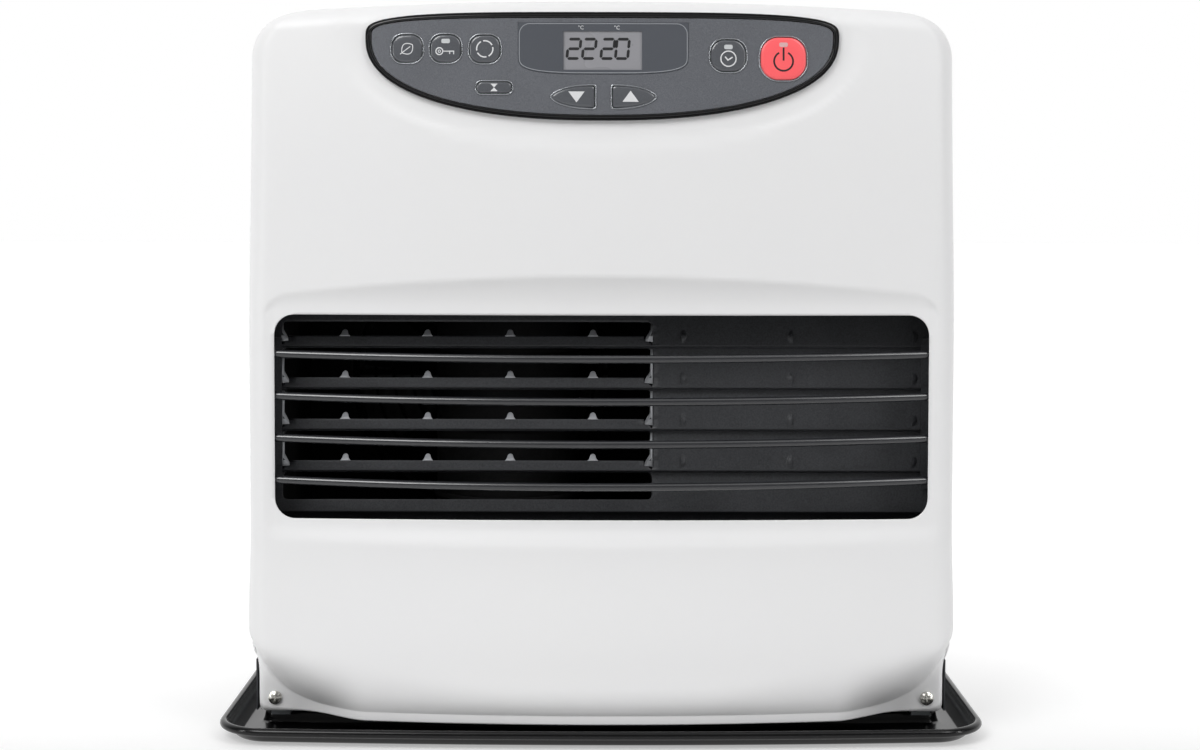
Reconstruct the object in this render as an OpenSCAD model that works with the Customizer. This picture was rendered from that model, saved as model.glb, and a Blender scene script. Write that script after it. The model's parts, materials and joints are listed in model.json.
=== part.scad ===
/* [Drip tray] */
// Width of the tray over its rolled rim
tray_w = 455; // [445:1:470]
// Depth of the tray over its rolled rim, at the middle
tray_d = 324; // [316:1:340]
// Height of the platform that carries the heater
platform_z = 9.5; // [8:0.5:14]
// How far the tray's front edge bows out at the middle
tray_bow = 8; // [4:0.5:10]
// Diameter of the rolled rim bead
rim_bead = 5; // [4:0.5:6]

/* [Cabinet] */
// Width of the cabinet over its side walls
cabinet_w = 416; // [412:1:424]
// Height of the cabinet's flat top above the floor
cabinet_top = 429; // [424:1:440]
// Corner radius between the cabinet's sides and top
cabinet_corner_r = 26; // [22:1:30]
// Distance from the middle back to the cabinet's rear face
cabinet_back = 128; // [124:1:134]
// Thickness of the sheet steel
sheet = 1; // [0.8:0.1:1.2]

/* [Front cover] */
// Forward bow of the cover between its sides and its middle
cover_bow = 11; // [6:0.5:14]
// Rounding between the cover's front face and its sides
cover_edge_r = 14; // [10:0.5:18]
// Crown of the cover's top edge
cover_crown = 5; // [2:0.5:6]
// Lean-back of the face at its top edge
cover_lean = 5; // [2:0.5:8]
// Depth of the dished zone round the louvre opening
dish_depth = 5; // [3:0.5:6]
// Width of the louvre opening
opening_w = 385; // [370:1:388]
// Height of the louvre opening
opening_h = 120.4; // [112:0.4:124]
// Corner radius of the louvre opening
opening_r = 12; // [8:1:16]

/* [Louvre] */
// Vertical pitch of the clapboard steps and slats
louvre_pitch = 25.1; // [23:0.1:26]
// Depth of each clapboard step
louvre_step = 5; // [4:0.5:7]
// Height of each slat's face
slat_h = 6.3; // [5:0.1:8]
// Diameter of a guard rod
rod_d = 4.8; // [4:0.1:5.5]
// Forward bow of a guard rod
rod_bow = 20; // [12:0.5:22]

/* [Control panel] */
// Width of the panel over its bezel
panel_w = 275; // [265:1:280]
// Width of the bezel band
bezel_band = 3.4; // [2.6:0.1:4]
// Travel of a key
key_travel = 1; // [0.6:0.1:1.2]
// Running gap round a key
key_gap = 0.3; // [0.25:0.05:0.4]
// Width of a round-cornered key
key_w = 17.6; // [15:0.1:18.5]

/* [Fuel tank] */
// Width of the removable tank
tank_w = 151; // [140:1:152]
// Depth of the removable tank
tank_d = 140; // [130:1:142]
// Room between the tank's top and the cabinet's top, for the bail
tank_headroom = 43.7; // [42:0.1:60]
// Swing radius of the tank's bail handle
bail_r = 28; // [22:1:30]

/* [Fan and burner] */
// Diameter of the room fan
fan_d = 170; // [150:1:174]
// Number of fan blades
fan_blades = 5; // [4:1:6]
// Diameter of the combustion chamber
chamber_d = 92; // [80:1:100]

/* [Hidden] */
$fn = 48;
eps = 0.01;
fit = 0.3;

cab_hw = cabinet_w / 2;
// The cover slips over the cabinet with this gap on each side
cover_hw = cab_hw + fit + sheet;
cover_corner_r = cabinet_corner_r + sheet;
cover_base_z = platform_z + 2.7;
cover_back_y = -60;
cover_side_y = -138;
cover_top = cabinet_top + fit + sheet;
skirt_flat_y = -118;
skirt_hw = cab_hw - 2 * sheet;
skirt_r = 4;
side_full_z = 56;
opening_z = 131.7;
opening_top = opening_z + opening_h;
// Height of the control panel's widest line
panel_mid_z = cabinet_top - 16;

function clamp01(v) = min(1, max(0, v));
function ease(a, b, v) = let (t = clamp01((v - a) / (b - a))) t * t * (3 - 2 * t);
function mix(a, b, t) = a + (b - a) * t;

// Skins a stack of rings with equal counts into a closed solid
module loft(rings) {
    n = len(rings[0]);
    m = len(rings);
    pts = [for (r = rings) each r];
    sides = [for (j = [0:m - 2], i = [0:n - 1])
        let (a = j * n + i, b = j * n + (i + 1) % n, c = a + n, d = b + n)
        each [[a, b, d], [a, d, c]]];
    polyhedron(pts, concat(sides, [[for (i = [n - 1:-1:0]) i]],
        [[for (i = [0:n - 1]) (m - 1) * n + i]]));
}

// Closed sheet between an outer and an inner grid. A triangle whose middle on the plan grid is
// open is left out, and walls close the sheet along the openings and round its outer edge.
module shell(outer, inner, plan = [], is_open = function(p) false) {
    n = len(outer[0]);
    m = len(outer);
    k = n * m;
    function gone(j, i, tri) = len(plan) > 0 && is_open((plan[j + tri[0][0]][i + tri[0][1]]
        + plan[j + tri[1][0]][i + tri[1][1]] + plan[j + tri[2][0]][i + tri[2][1]]) / 3);
    // Two ways to halve a cell: mirrored about the middle, or along an opening's edge that crosses it
    cells = [for (j = [0:m - 2]) [for (i = [0:n - 2]) let (
        p0 = !gone(j, i, [[0, 0], [0, 1], [1, 1]]), p1 = !gone(j, i, [[0, 0], [1, 1], [1, 0]]),
        q0 = !gone(j, i, [[0, 0], [0, 1], [1, 0]]), q1 = !gone(j, i, [[0, 1], [1, 1], [1, 0]]))
        p0 != p1 ? [0, p0, p1] : q0 != q1 || i < (n - 1) / 2 ? [1, q0, q1] : [0, p0, p1]]];
    function foot(j, i) = j >= 0 && j < m - 1 && cells[j][i][1];
    function head(j, i) = j >= 0 && j < m - 1 && cells[j][i][2];
    function left(j, i) = i >= 0 && i < n - 1 && cells[j][i][cells[j][i][0] == 0 ? 2 : 1];
    function right(j, i) = i >= 0 && i < n - 1 && cells[j][i][cells[j][i][0] == 0 ? 1 : 2];
    function wall(p, q) = [[p, q, k + q], [p, k + q, k + p]];
    skins = [for (j = [0:m - 2], i = [0:n - 2])
        let (a = j * n + i, b = a + 1, c = a + n, d = c + 1, s = cells[j][i],
            t0 = s[0] == 0 ? [a, d, b] : [a, c, b], t1 = s[0] == 0 ? [a, c, d] : [b, c, d])
        each concat(s[1] ? [t0, [k + t0[2], k + t0[1], k + t0[0]]] : [],
            s[2] ? [t1, [k + t1[2], k + t1[1], k + t1[0]]] : [],
            s[1] == s[2] ? [] : s[0] == 0 ? (s[1] ? wall(d, a) : wall(a, d)) : s[1] ? wall(b, c) : wall(c, b))];
    level = [for (j = [0:m - 1], i = [0:n - 2]) let (a = j * n + i, up = foot(j, i), down = head(j - 1, i))
        if (up != down) each up ? wall(a, a + 1) : wall(a + 1, a)];
    upright = [for (j = [0:m - 2], i = [0:n - 1]) let (a = j * n + i, r = left(j, i), l = right(j, i - 1))
        if (r != l) each r ? wall(a + n, a) : wall(a, a + n)];
    polyhedron([for (r = outer) each r, for (r = inner) each r], concat(skins, level, upright));
}

// Rounded rectangle ring at height z whose front side bows by tray_bow at the middle
function tray_ring(hx, yf, yb, r, z) = let (
    corner = [[hx - r, yb - r, 0], [-hx + r, yb - r, 90], [-hx + r, yf + r, 180], [hx - r, yf + r, 270]],
    flat = concat(
        [for (c = [0:2], a = [0:15:90]) [corner[c][0] + r * cos(corner[c][2] + a),
            corner[c][1] + r * sin(corner[c][2] + a)]],
        [for (i = [1:11]) [mix(-hx + r, hx - r, i / 12), yf]],
        [for (a = [0:15:90]) [corner[3][0] + r * cos(270 + a), corner[3][1] + r * sin(270 + a)]]))
    [for (p = flat) [p[0], p[1] + (p[1] < 0 ? tray_bow * pow(p[0] / hx, 2) * p[1] / yf : 0), z]];

// Each entry is inset from the rim, height, and how much nearer the front the wall stands
module base_tray() {
    hx = tray_w / 2;
    hy = tray_d / 2;
    bead = rim_bead / 2;
    rim_z = platform_z - 1.2;
    front_gap = 28;
    side_in = 22.5;
    profile = [
        [side_in + 3.5, platform_z - 1, 1], [side_in + 1.4, platform_z - 2, 1], [side_in - 0.6, 0, 1],
        [12.5, 0, 0], [10.2, 0.6, 0], [5.6, rim_z - bead - 0.8, 0], [bead, rim_z - bead, 0],
        [0, rim_z, 0], [bead, rim_z + bead, 0], [bead * 2, rim_z, 0], [6.6, 5.2, 0], [11.5, 1.4, 0],
        [13, 1, 0], [side_in - 2.2, 1, 1], [side_in - 1.2, 1.6, 1], [side_in, platform_z - 1.3, 1],
        [side_in + 1.5, platform_z, 1]];
    color("#1c1c1e")
        loft([for (p = profile) tray_ring(hx - p[0], -hy + p[0] + p[2] * front_gap, hy - p[0],
            max(8, 30 - p[0]), p[1])]);
}

// Front face of the cover: how far forward it stands at x and z
function belly_edge(x) = cover_base_z + 7.8 + 34 * pow(clamp01((abs(x) - 140) / 69), 2.5);
function skirt_y(x) = mix(cover_side_y - 12.5 + 13 * pow(x / 165, 2), skirt_flat_y, ease(138, 183, abs(x)));
function face_bow(x) = cover_side_y - cover_bow * (1 - pow(x / 195, 2));
function face_lean(z) = cover_lean * pow(clamp01((z - cabinet_top + 89) / 95), 2);
function face_belly(x, z) = -8 * (1 - pow(x / 230, 2)) * ease(118, 50, z);
function dish_top(x) = opening_top + 10.4 + 12.5 * (1 - pow(x / 200, 2));
function dish_foot(x) = opening_z - 14 - 3 * (1 - pow(x / 200, 2));
function face_dish(x, z) = (1.2 + (dish_depth - 1.2) * (1 - pow(x / 200, 2))) * ease(200, 194, abs(x))
    * min(ease(dish_top(x), opening_top + 3, z), ease(dish_foot(x), opening_z - 3, z));
function face_y(x, z) = face_bow(x) + face_lean(z) + face_belly(x, z) + face_dish(x, z);

// Rows of the cover from the skirt's foot over the belly, face and top edge to the back of its flange.
// Kinds: 0 skirt (share of its height), 1 belly (angle), 2 face (height), 3 top corner (angle), 4 flange
belly_h = 22;
top_edge_r = 12;
corner_z = cover_top - cover_corner_r;
// Offsets of the grid lines through an opening's rounded corner, so that the arc meets them at each 30 degrees
arc_lines = [for (a = [0, 30, 60, 90]) opening_r * (1 - cos(a))];
// Rough opening behind the control panel: half widths, and heights below and above its widest part
panel_hole_x = [127, 112, 96, 60];
panel_hole_low = [for (d = [17.5, 28, 34.5, 45.5]) panel_mid_z - d];
panel_hole_high = [panel_mid_z + 1, panel_mid_z + 8];
screw_rows = [0.19, 0.374];
cover_rows = concat(
    [for (v = concat(0, screw_rows, 0.7, 1)) [0, v]], [for (a = [72, 54, 36, 18, 0]) [1, a]],
    [for (z = [100, opening_z - 18, opening_z - 13, opening_z - 8, opening_z - 3]) [2, z]],
    [for (z = arc_lines) [2, opening_z + z]], [for (v = [1, 2]) [2, mix(opening_z, opening_top, v / 3)]],
    [for (i = [3:-1:0]) [2, opening_top - arc_lines[i]]],
    [for (z = [3, 8, 14, 20, 26]) [2, opening_top + z]],
    [for (v = [0.25, 0.55, 0.83]) [2, mix(opening_top + 26, panel_hole_low[3], v)]],
    [for (i = [3:-1:0]) [2, panel_hole_low[i]]], [[3, 0], [3, 12]],
    [for (z = [panel_hole_high[0], mix(panel_hole_high[0], panel_hole_high[1], 0.5), panel_hole_high[1]])
        [3, asin((z - corner_z) / cover_corner_r)]],
    [for (a = [53, 63, 72, 81, 90]) [3, a]], [for (v = [0.4, 1]) [4, v]]);
// Columns: 0 side wall (share of its length from the back), 1 corner (angle), 2 face (share of half width)
face_hw = cover_hw - cover_edge_r;
half_cols = concat([[0, 0], [0, 0.6]], [for (a = [0:18:90]) [1, a]],
    [for (d = arc_lines) [2, (opening_w / 2 - d) / face_hw]], [for (x = [168, 146]) [2, x / face_hw]],
    [for (x = concat(panel_hole_x, 30)) [2, x / face_hw]]);
cover_cols = concat([for (c = half_cols) [c[0], c[1], -1]], [[2, 0, 1]],
    [for (i = [len(half_cols) - 1:-1:0]) [half_cols[i][0], half_cols[i][1], 1]]);
// Plan grid on which the openings are straight and square; the skirt's rows lie below zero
cover_plan = [for (row = cover_rows) [for (col = cover_cols) [
    col[0] == 2 ? col[2] * col[1] * face_hw : col[2] * 300,
    row[0] == 0 ? row[1] - 100 : row[0] == 1 ? -50 : row[0] == 2 ? row[1]
        : row[0] == 3 ? corner_z + cover_corner_r * sin(row[1]) : 1000]]];
function in_louvre(x, z) = let (w = opening_w / 2, zc = abs(z - opening_z - opening_h / 2), h = opening_h / 2,
    dx = x - w + opening_r, dz = zc - h + opening_r)
    x < w && zc < h && (dx < 0 || dz < 0 || norm([dx, dz]) < opening_r - 0.2);
function in_panel(x, z) = let (hx = panel_hole_x, lo = panel_hole_low, hi = panel_hole_high,
    low = x < hx[3] ? lo[3] : lookup(x, [for (i = [3:-1:0]) [hx[i], lo[i]]]),
    high = x < hx[1] ? hi[1] : lookup(x, [[hx[1], hi[1]], [hx[0], hi[0]]]))
    x < hx[0] && z > low - 0.1 && z < high + 0.1;
function in_screw_hole(x, z) = x > opening_w / 2 - arc_lines[2] && x < opening_w / 2
    && z > screw_rows[0] - 100 && z < screw_rows[1] - 100;
cover_open = function(p) let (x = abs(p[0])) in_louvre(x, p[1]) || in_panel(x, p[1]) || in_screw_hole(x, p[1]);

// Half width of the cover at height z, before the top corner narrows it
function side_x(z, t) = mix(skirt_hw, cover_hw, ease(40, side_full_z, z)) - t;
function side_back(z) = mix(skirt_flat_y + 8, cover_back_y, ease(side_full_z - 7, side_full_z + 12, z));

// Along the flange the columns spread out evenly, so that none of them meet at its ends
function cover_point(row, col, t, spread) = let (
    kind = row[0], v = row[1],
    a = kind == 3 ? v : kind == 4 ? 90 : 0,
    top_z = cover_top - cover_corner_r + (cover_corner_r - t) * sin(a),
    nominal = kind < 2 ? 60 : kind == 2 ? v : cover_top - cover_corner_r + cover_corner_r * sin(a),
    zb_side = belly_edge(cover_hw),
    side_z = kind == 0 ? mix(cover_base_z, zb_side, v) : kind == 1 ? zb_side + belly_h * (1 - sin(v)) : nominal,
    hw = side_x(side_z, t) - cover_corner_r * (1 - cos(a)) + (a > 0 ? t * (1 - cos(a)) : 0),
    r = mix(skirt_r, cover_edge_r, ease(40, side_full_z, side_z)) - t,
    x = col[2] * (col[0] == 0 ? hw : col[0] == 1 ? hw - r * (1 - cos(col[1])) : col[1] * (hw - r)),
    zb = belly_edge(x),
    q = clamp01((nominal - cover_top + top_edge_r) / top_edge_r),
    b = kind > 2 ? asin(q) : 0,
    up = cover_crown * clamp01(1 - pow(x / 182, 2)) * ease(290, cover_top, nominal),
    z = kind == 0 ? mix(cover_base_z, zb + t, v)
        : kind == 1 ? zb + belly_h * (1 - sin(v)) + t * sin(v)
        : kind == 2 ? v + up : top_z + up,
    yf = kind == 0 ? skirt_y(x) + t
        : kind == 1 ? face_y(x, z) + (skirt_y(x) - face_y(x, z)) * (1 - cos(v)) + t * cos(v)
        : face_y(x, nominal) + top_edge_r - (top_edge_r - t) * cos(b),
    corner_y = yf + r,
    front = col[0] == 0 ? mix(side_back(side_z), corner_y, col[1])
        : col[0] == 1 ? corner_y - r * sin(col[1]) : yf)
    kind < 4 ? [x, front, z]
        : [mix(x, 0.9 * hw * spread, v), mix(front, cover_back_y, v), z - up * v * v];

function cover_grid(t) = let (n = len(cover_cols) - 1)
    [for (row = cover_rows) [for (i = [0:n]) cover_point(row, cover_cols[i], t, 2 * i / n - 1)]];

// Rounded rectangle standing in the x-z plane, cut from y0 to y1
module plate_hole(x0, x1, z0, z1, r, y0, y1) {
    translate([0, y1, 0]) rotate([90, 0, 0]) linear_extrude(y1 - y0) union() {
        translate([x0 + r, z0]) square([x1 - x0 - 2 * r, z1 - z0]);
        translate([x0, z0 + r]) square([x1 - x0, z1 - z0 - 2 * r]);
        for (x = [x0 + r, x1 - r], z = [z0 + r, z1 - r]) translate([x, z]) circle(r);
    }
}

// Outline of the control panel, inset by d: flat-topped above its widest line, deep arc below
panel_up = 14.9;
panel_down = 47.9;
function panel_ring(d, n = 60) = [for (i = [0:n - 1]) let (a = 360 * i / n, s = sin(a), c = cos(a),
    p = s > 0 ? 4 : 2.3, k = s > 0 ? panel_up : panel_down)
    [(panel_w / 2 - d) * sign(c) * pow(abs(c), 2 / p), panel_mid_z + (k - d) * sign(s) * pow(abs(s), 2 / p)]];

// The screws sit in the middle of the holes that the grid leaves in the skirt's corner flats
screw_x = (skirt_hw - skirt_r) * (opening_w / 2 - arc_lines[2] / 2) / face_hw;
screw_z = mix(cover_base_z, belly_edge(screw_x), (screw_rows[0] + screw_rows[1]) / 2);
module front_cover() {
    color("#e9e9e9") shell(cover_grid(0), cover_grid(sheet), cover_plan, cover_open);
}

module cover_screws() {
    head_h = 2.6;
    color("#c9c9c6") for (s = [-1, 1]) translate([s * screw_x, skirt_flat_y, screw_z]) rotate([90, 0, 0])
        difference() {
            union() {
                rotate_extrude() intersection() {
                    translate([0, head_h - 6]) circle(6);
                    square([4, head_h]);
                }
                translate([0, 0, -10]) cylinder(r = 1.95, h = 10);
            }
            for (a = [0, 90]) rotate(a) translate([-1.9, -0.45, head_h - 1.3]) cube([3.8, 0.9, 2]);
        }
}

// Extrudes an outline drawn in x and z from y0 to y1
module along_y(y0, y1) {
    translate([0, y1, 0]) rotate([90, 0, 0]) linear_extrude(y1 - y0) children();
}
// Extrudes an outline drawn in y and z from x0 to x1
module along_x(x0, x1) {
    translate([x0, 0, 0]) rotate([90, 0, 90]) linear_extrude(x1 - x0) children();
}
module box(lo, hi) {
    translate(lo) cube(hi - lo);
}

// Cabinet outline, inset by d, from height z0 up
pan_z = platform_z;
wrap_z = platform_z + 2;
module body_2d(d, z0 = wrap_z) {
    r = cabinet_corner_r;
    translate([-cab_hw + d, z0]) square([2 * (cab_hw - d), cabinet_top - r - z0]);
    translate([r - cab_hw, z0]) square([2 * (cab_hw - r), cabinet_top - d - z0]);
    for (s = [-1, 1]) translate([s * (cab_hw - r), cabinet_top - r]) circle(r - d);
}

// Tank bay: wall, lid opening and hinge line
bay_x = 38;
wrap_front_y = -114;
bay_front_y = -46;
bay_back_y = 107;
lid_front_y = -49;
lid_x = bay_x + 2;
lid_cut_y = 117;
hinge_y = 112;
hinge_pin_r = 2;
hinge_r = 4;
hinge_z = cabinet_top - hinge_r;
pipe_y = 112;
pipe_z = 80;
rear_y = cabinet_back - sheet;

module base_pan() {
    hx = cab_hw - sheet - fit;
    tab_y = skirt_flat_y + sheet;
    color("#8d9092") difference() {
        union() {
            difference() {
                box([-hx, -104, pan_z], [hx, rear_y - fit, pan_z + 14]);
                box([-hx + sheet, -104 + sheet, pan_z + sheet], [hx - sheet, rear_y - fit - sheet, 60]);
            }
            for (s = [0, 1]) mirror([s, 0, 0]) translate([screw_x, 0, 0]) {
                box([-9, tab_y, pan_z], [2.5, tab_y + sheet, screw_z + 7]);
                box([-9, tab_y, pan_z], [2.5, -103, pan_z + sheet]);
            }
        }
        for (s = [-1, 1]) translate([s * screw_x, -100, screw_z]) rotate([90, 0, 0]) cylinder(r = 2, h = 30);
        for (x = case_screw_x) translate([x, 200, case_screw_z]) rotate([90, 0, 0]) cylinder(r = 2, h = 100);
    }
}

module cabinet_wrap() {
    color("#26272a") difference() {
        along_y(wrap_front_y, rear_y) difference() {
            body_2d(0);
            body_2d(sheet, wrap_z - 1);
        }
        box([lid_x, lid_front_y, cabinet_top - cabinet_corner_r], [300, lid_cut_y, cabinet_top + 10]);
        // Notch where the cover's sides widen to slip over the wrap
        box([-300, wrap_front_y - 1, side_full_z - 13.5], [300, skirt_flat_y + 19, side_full_z + 6]);
        for (z = [60:9:114]) plate_slot_x(-cab_hw, 60, z, 50);
    }
}
// Vent slot through a side wall, with round ends
module plate_slot_x(x, y, z, length) {
    along_x(x - 3, x + 3) {
        translate([y, z - 1.6]) square([length, 3.2]);
        for (e = [0, length]) translate([y + e, z]) circle(1.6);
    }
}

fan_x = -83;
fan_z = 195;
intake_r = fan_d / 2 + 7;
gland_x = 150;
gland_z = 46;
gland_r = 8;
module rear_panel() {
    color("#26272a") difference() {
        along_y(rear_y, cabinet_back) body_2d(0);
        translate([fan_x, 200, fan_z]) rotate([90, 0, 0]) cylinder(r = intake_r, h = 100);
        translate([gland_x, 200, gland_z]) rotate([90, 0, 0]) cylinder(r = gland_r + 0.05, h = 100);
        for (x = case_screw_x) translate([x, 200, case_screw_z]) rotate([90, 0, 0]) cylinder(r = 2, h = 100);
        for (i = [0:5], x = [70, 120]) along_y(rear_y - 1, cabinet_back + 1)
            translate([x, cabinet_top - 99 + i * 9]) {
            square([38, 3.2]);
            for (e = [0, 38]) translate([e, 1.6]) circle(1.6);
        }
    }
}

// The lid carries on the cabinet's outline, corner included, over the tank bay
module tank_lid() {
    skin = 1.2;
    end_y = bay_back_y + 1;
    color("#2b2c2f") difference() {
        union() {
            along_y(lid_front_y + fit, end_y) intersection() {
                difference() {
                    body_2d(0);
                    body_2d(skin, 0);
                }
                translate([lid_x + fit, cabinet_top - cabinet_corner_r + fit]) square([300, 60]);
            }
            for (x = [60, 146]) {
                translate([x, hinge_y, hinge_z]) rotate([0, 90, 0]) cylinder(r = hinge_r, h = 24);
                box([x, end_y - 2, cabinet_top - skin], [x + 24, hinge_y, cabinet_top]);
            }
            along_x(70, 160) translate([bay_front_y + fit, cabinet_top - 9]) square([skin, 8.5]);
        }
        translate([0, hinge_y, hinge_z]) rotate([0, 90, 0]) cylinder(r = hinge_pin_r + 0.05, h = 300);
    }
}

module lid_hinge_pin() {
    color("#b9bbbd") translate([49, hinge_y, hinge_z]) rotate([0, 90, 0]) cylinder(r = hinge_pin_r, h = 132);
}

// Sunken frame that the lid closes on, with the two lugs that hold the hinge pin
module lid_frame() {
    ledge = sheet + fit;
    low_z = hinge_z - hinge_r - 2.3;
    color("#3a3b3e") difference() {
        union() {
            difference() {
                along_y(lid_front_y - 6, bay_back_y) intersection() {
                    difference() {
                        body_2d(ledge + 0.2);
                        body_2d(ledge + 0.2 + sheet, 0);
                    }
                    translate([bay_x - 3, cabinet_top - cabinet_corner_r - 6]) square([300, 60]);
                }
                box([bay_x + 6, bay_front_y, cabinet_top - 49],
                    [cab_hw - 10, bay_back_y + 1, cabinet_top + 10]);
                box([150, lid_front_y - 7, cabinet_top - 49], [cab_hw - 5, lid_front_y + 2, cabinet_top - 3]);
            }
            box([bay_x - 3, bay_back_y - 1, low_z - sheet], [cab_hw - 26, rear_y - fit, low_z]);
            box([bay_x - 3, bay_back_y - 1, low_z - sheet], [bay_x + 6, bay_back_y, cabinet_top - 2]);
            for (x = [50, 172]) box([x, hinge_y - 3.4, low_z - eps], [x + 8, hinge_y + 3.4, hinge_z + 3.4]);
        }
        translate([0, hinge_y, hinge_z]) rotate([0, 90, 0]) cylinder(r = hinge_pin_r + 0.02, h = 300);
    }
}

module bay_wall() {
    end_y = rear_y - fit - sheet;
    color("#8d9092") difference() {
        union() {
            box([bay_x, -103, pan_z + sheet], [bay_x + sheet, end_y, cabinet_top - 3.2]);
            box([bay_x, -103, pan_z + sheet], [bay_x + 5.5, end_y, pan_z + 2 * sheet]);
        }
        translate([bay_x - 5, pipe_y, pipe_z]) rotate([0, 90, 0]) cylinder(r = 6, h = 20);
        box([bay_x - 1, hinge_y - 6, hinge_z - 8], [bay_x + 2, 300, cabinet_top + 10]);
    }
}

// Louvre plate: clapboard steps right across, cut open between them on the left
plate_y = -105;
plate_foot = 24;
plate_head = 292;
step_z0 = opening_z - 0.7;
step_count = 5;
outlet_x = [-193, 31];
outlet_z = [opening_z + 7, opening_top - 6];
function step_edge(i) = step_z0 + i * louvre_pitch;
// Front line of the pressing from the foot up, drawn in y and z and moved back by d
function plate_line(d) = concat([[plate_y + d, plate_foot]],
    [for (i = [0:step_count - 1]) each [
        [plate_y + d, step_edge(i) - 1 + (i == 0 ? 0 : d * 0.4)],
        [plate_y - louvre_step + d, step_edge(i) + d * 0.6],
        [plate_y - louvre_step + d + 0.3, step_edge(i) + 2]]],
    [[plate_y + d, step_edge(step_count) + 6], [plate_y + d, plate_head]]);
module plate_sheet(x0, x1) {
    front = plate_line(0);
    back = plate_line(sheet);
    along_x(x0, x1) polygon(concat(front, [for (i = [len(back) - 1:-1:0]) back[i]]));
}
// A half-round tab pressed out of the face, flat side towards s
module lance(x, z, s) {
    r = 3;
    translate([x, plate_y - louvre_step * 0.62, z]) rotate([90, 0, 0]) intersection() {
        cylinder(r = r, h = 2);
        translate([s > 0 ? 0 : -r, -r, 0]) cube([r, 2 * r, 2]);
    }
}
module louvre_plate() {
    hx = cab_hw - sheet - fit;
    color("#4a4c4f") difference() {
        union() {
            plate_sheet(-hx, hx);
            for (s = [-1, 1]) box([s > 0 ? hx - sheet : -hx, plate_y, plate_foot],
                [s > 0 ? hx : -hx + sheet, plate_y + 10, plate_head]);
            for (i = [1:step_count - 1], x = [48, 115, 187]) lance(x, step_edge(i) + 6, x == 115 ? -1 : 1);
        }
        plate_hole(outlet_x[0], outlet_x[1], outlet_z[0], outlet_z[1], 3, plate_y - 20, plate_y + 5);
    }
}
// Outlet slats: strips with the same steps and four round tabs each, welded by their ends
// to the sides of the cut-out
module outlet_slats() {
    color("#4a4c4f") for (i = [1:step_count - 1]) intersection() {
        plate_sheet(outlet_x[0], outlet_x[1]);
        union() {
            box([outlet_x[0] - 1, plate_y - 20, step_edge(i) - 1.5],
                [outlet_x[1] + 1, plate_y + 5, step_edge(i) + slat_h]);
            for (x = [-151, -102.4, -53.8, -5.2]) translate([x, plate_y + 6, step_edge(i) + slat_h])
                rotate([90, 0, 0]) cylinder(r = 3, h = 30);
        }
    }
}

// Guard rods: each is an arc, tipped down so that its middle droops
rod_end_x = opening_w / 2 + 4.5;
rod_end_y = cover_side_y + 6;
rod_count = 4;
rod_pitch = 24.85;
rod_droop = 1.7;
function rod_z(i) = opening_top - 23.4 - (rod_count - 1 - i) * rod_pitch;
module guard_rods() {
    bend = (pow(rod_end_x, 2) + pow(rod_bow, 2)) / (2 * rod_bow);
    reach = rod_end_x - rod_d / 2 * rod_end_x / bend - 0.02;
    sweep = 2 * asin(reach / bend);
    color("#54565a") for (i = [0:rod_count - 1]) translate([0, rod_end_y, rod_z(i)])
        rotate([asin(rod_droop / rod_bow), 0, 0]) translate([0, bend - rod_bow, 0])
        rotate([0, 0, 270 - sweep / 2]) rotate_extrude(angle = sweep, $fn = 720)
        translate([bend, 0]) circle(d = rod_d, $fn = 32);
}
module rod_brackets() {
    back_y = plate_y - louvre_step - 1.2;
    low = rod_z(0) - 8;
    high = rod_z(rod_count - 1) + 8;
    color("#3b3d40") for (s = [0, 1]) mirror([s, 0, 0]) {
        box([rod_end_x, rod_end_y - rod_d / 2, low], [rod_end_x + sheet, back_y, high]);
        box([rod_end_x - 5, back_y - sheet, low], [rod_end_x + sheet, back_y, high]);
    }
}

// Control panel: it follows the cover's bow on a cylinder and leans back with the face.
// Depths on the panel are counted along its normal, outwards from the cover's mean surface.
panel_low_z = panel_mid_z - panel_down;
panel_high_z = panel_mid_z + panel_up;
bow_r = pow(195, 2) / (2 * cover_bow);
panel_lean = atan((face_lean(panel_high_z) - face_lean(panel_low_z)) / (panel_high_z - panel_low_z));
function panel_y(x, z) = face_bow(x) + face_lean(panel_low_z) + tan(panel_lean) * (z - panel_low_z);
fascia_back = 0.85;
fascia_face = 1.8;
board_face = -12;
module on_panel(x, z) {
    translate([x, panel_y(x, z), z]) rotate([90 - panel_lean, 0, asin(x / bow_r)]) children();
}
module panel_slab(low, high) {
    intersection() {
        along_y(-200, -100) children();
        translate([0, panel_y(0, panel_low_z), panel_low_z]) rotate([-panel_lean, 0, 0])
            translate([0, bow_r, -20]) difference() {
                cylinder(r = bow_r + high, h = 120, $fn = 720);
                translate([0, 0, -1]) cylinder(r = bow_r + low, h = 122, $fn = 720);
            }
    }
}
module round_2d(w, h, r) {
    square([w - 2 * r, h], center = true);
    square([w, h - 2 * r], center = true);
    for (x = [-1, 1], y = [-1, 1]) translate([x * (w / 2 - r), y * (h / 2 - r)]) circle(r);
}
// Leaf with its point towards s and a rounded square end, grown by d
module leaf_2d(d, s) {
    l = leaf_w + 2 * d;
    h = leaf_h / 2 + d;
    r = (l * l + h * h) / (2 * h);
    mirror([s > 0 ? 1 : 0, 0]) intersection() {
        translate([l / 2, h - r]) circle(r, $fn = 240);
        translate([l / 2, r - h]) circle(r, $fn = 240);
        translate([-l / 2, -h]) square([l, 2 * h]);
    }
}
leaf_w = 24.6;
leaf_h = 12.4;
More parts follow.
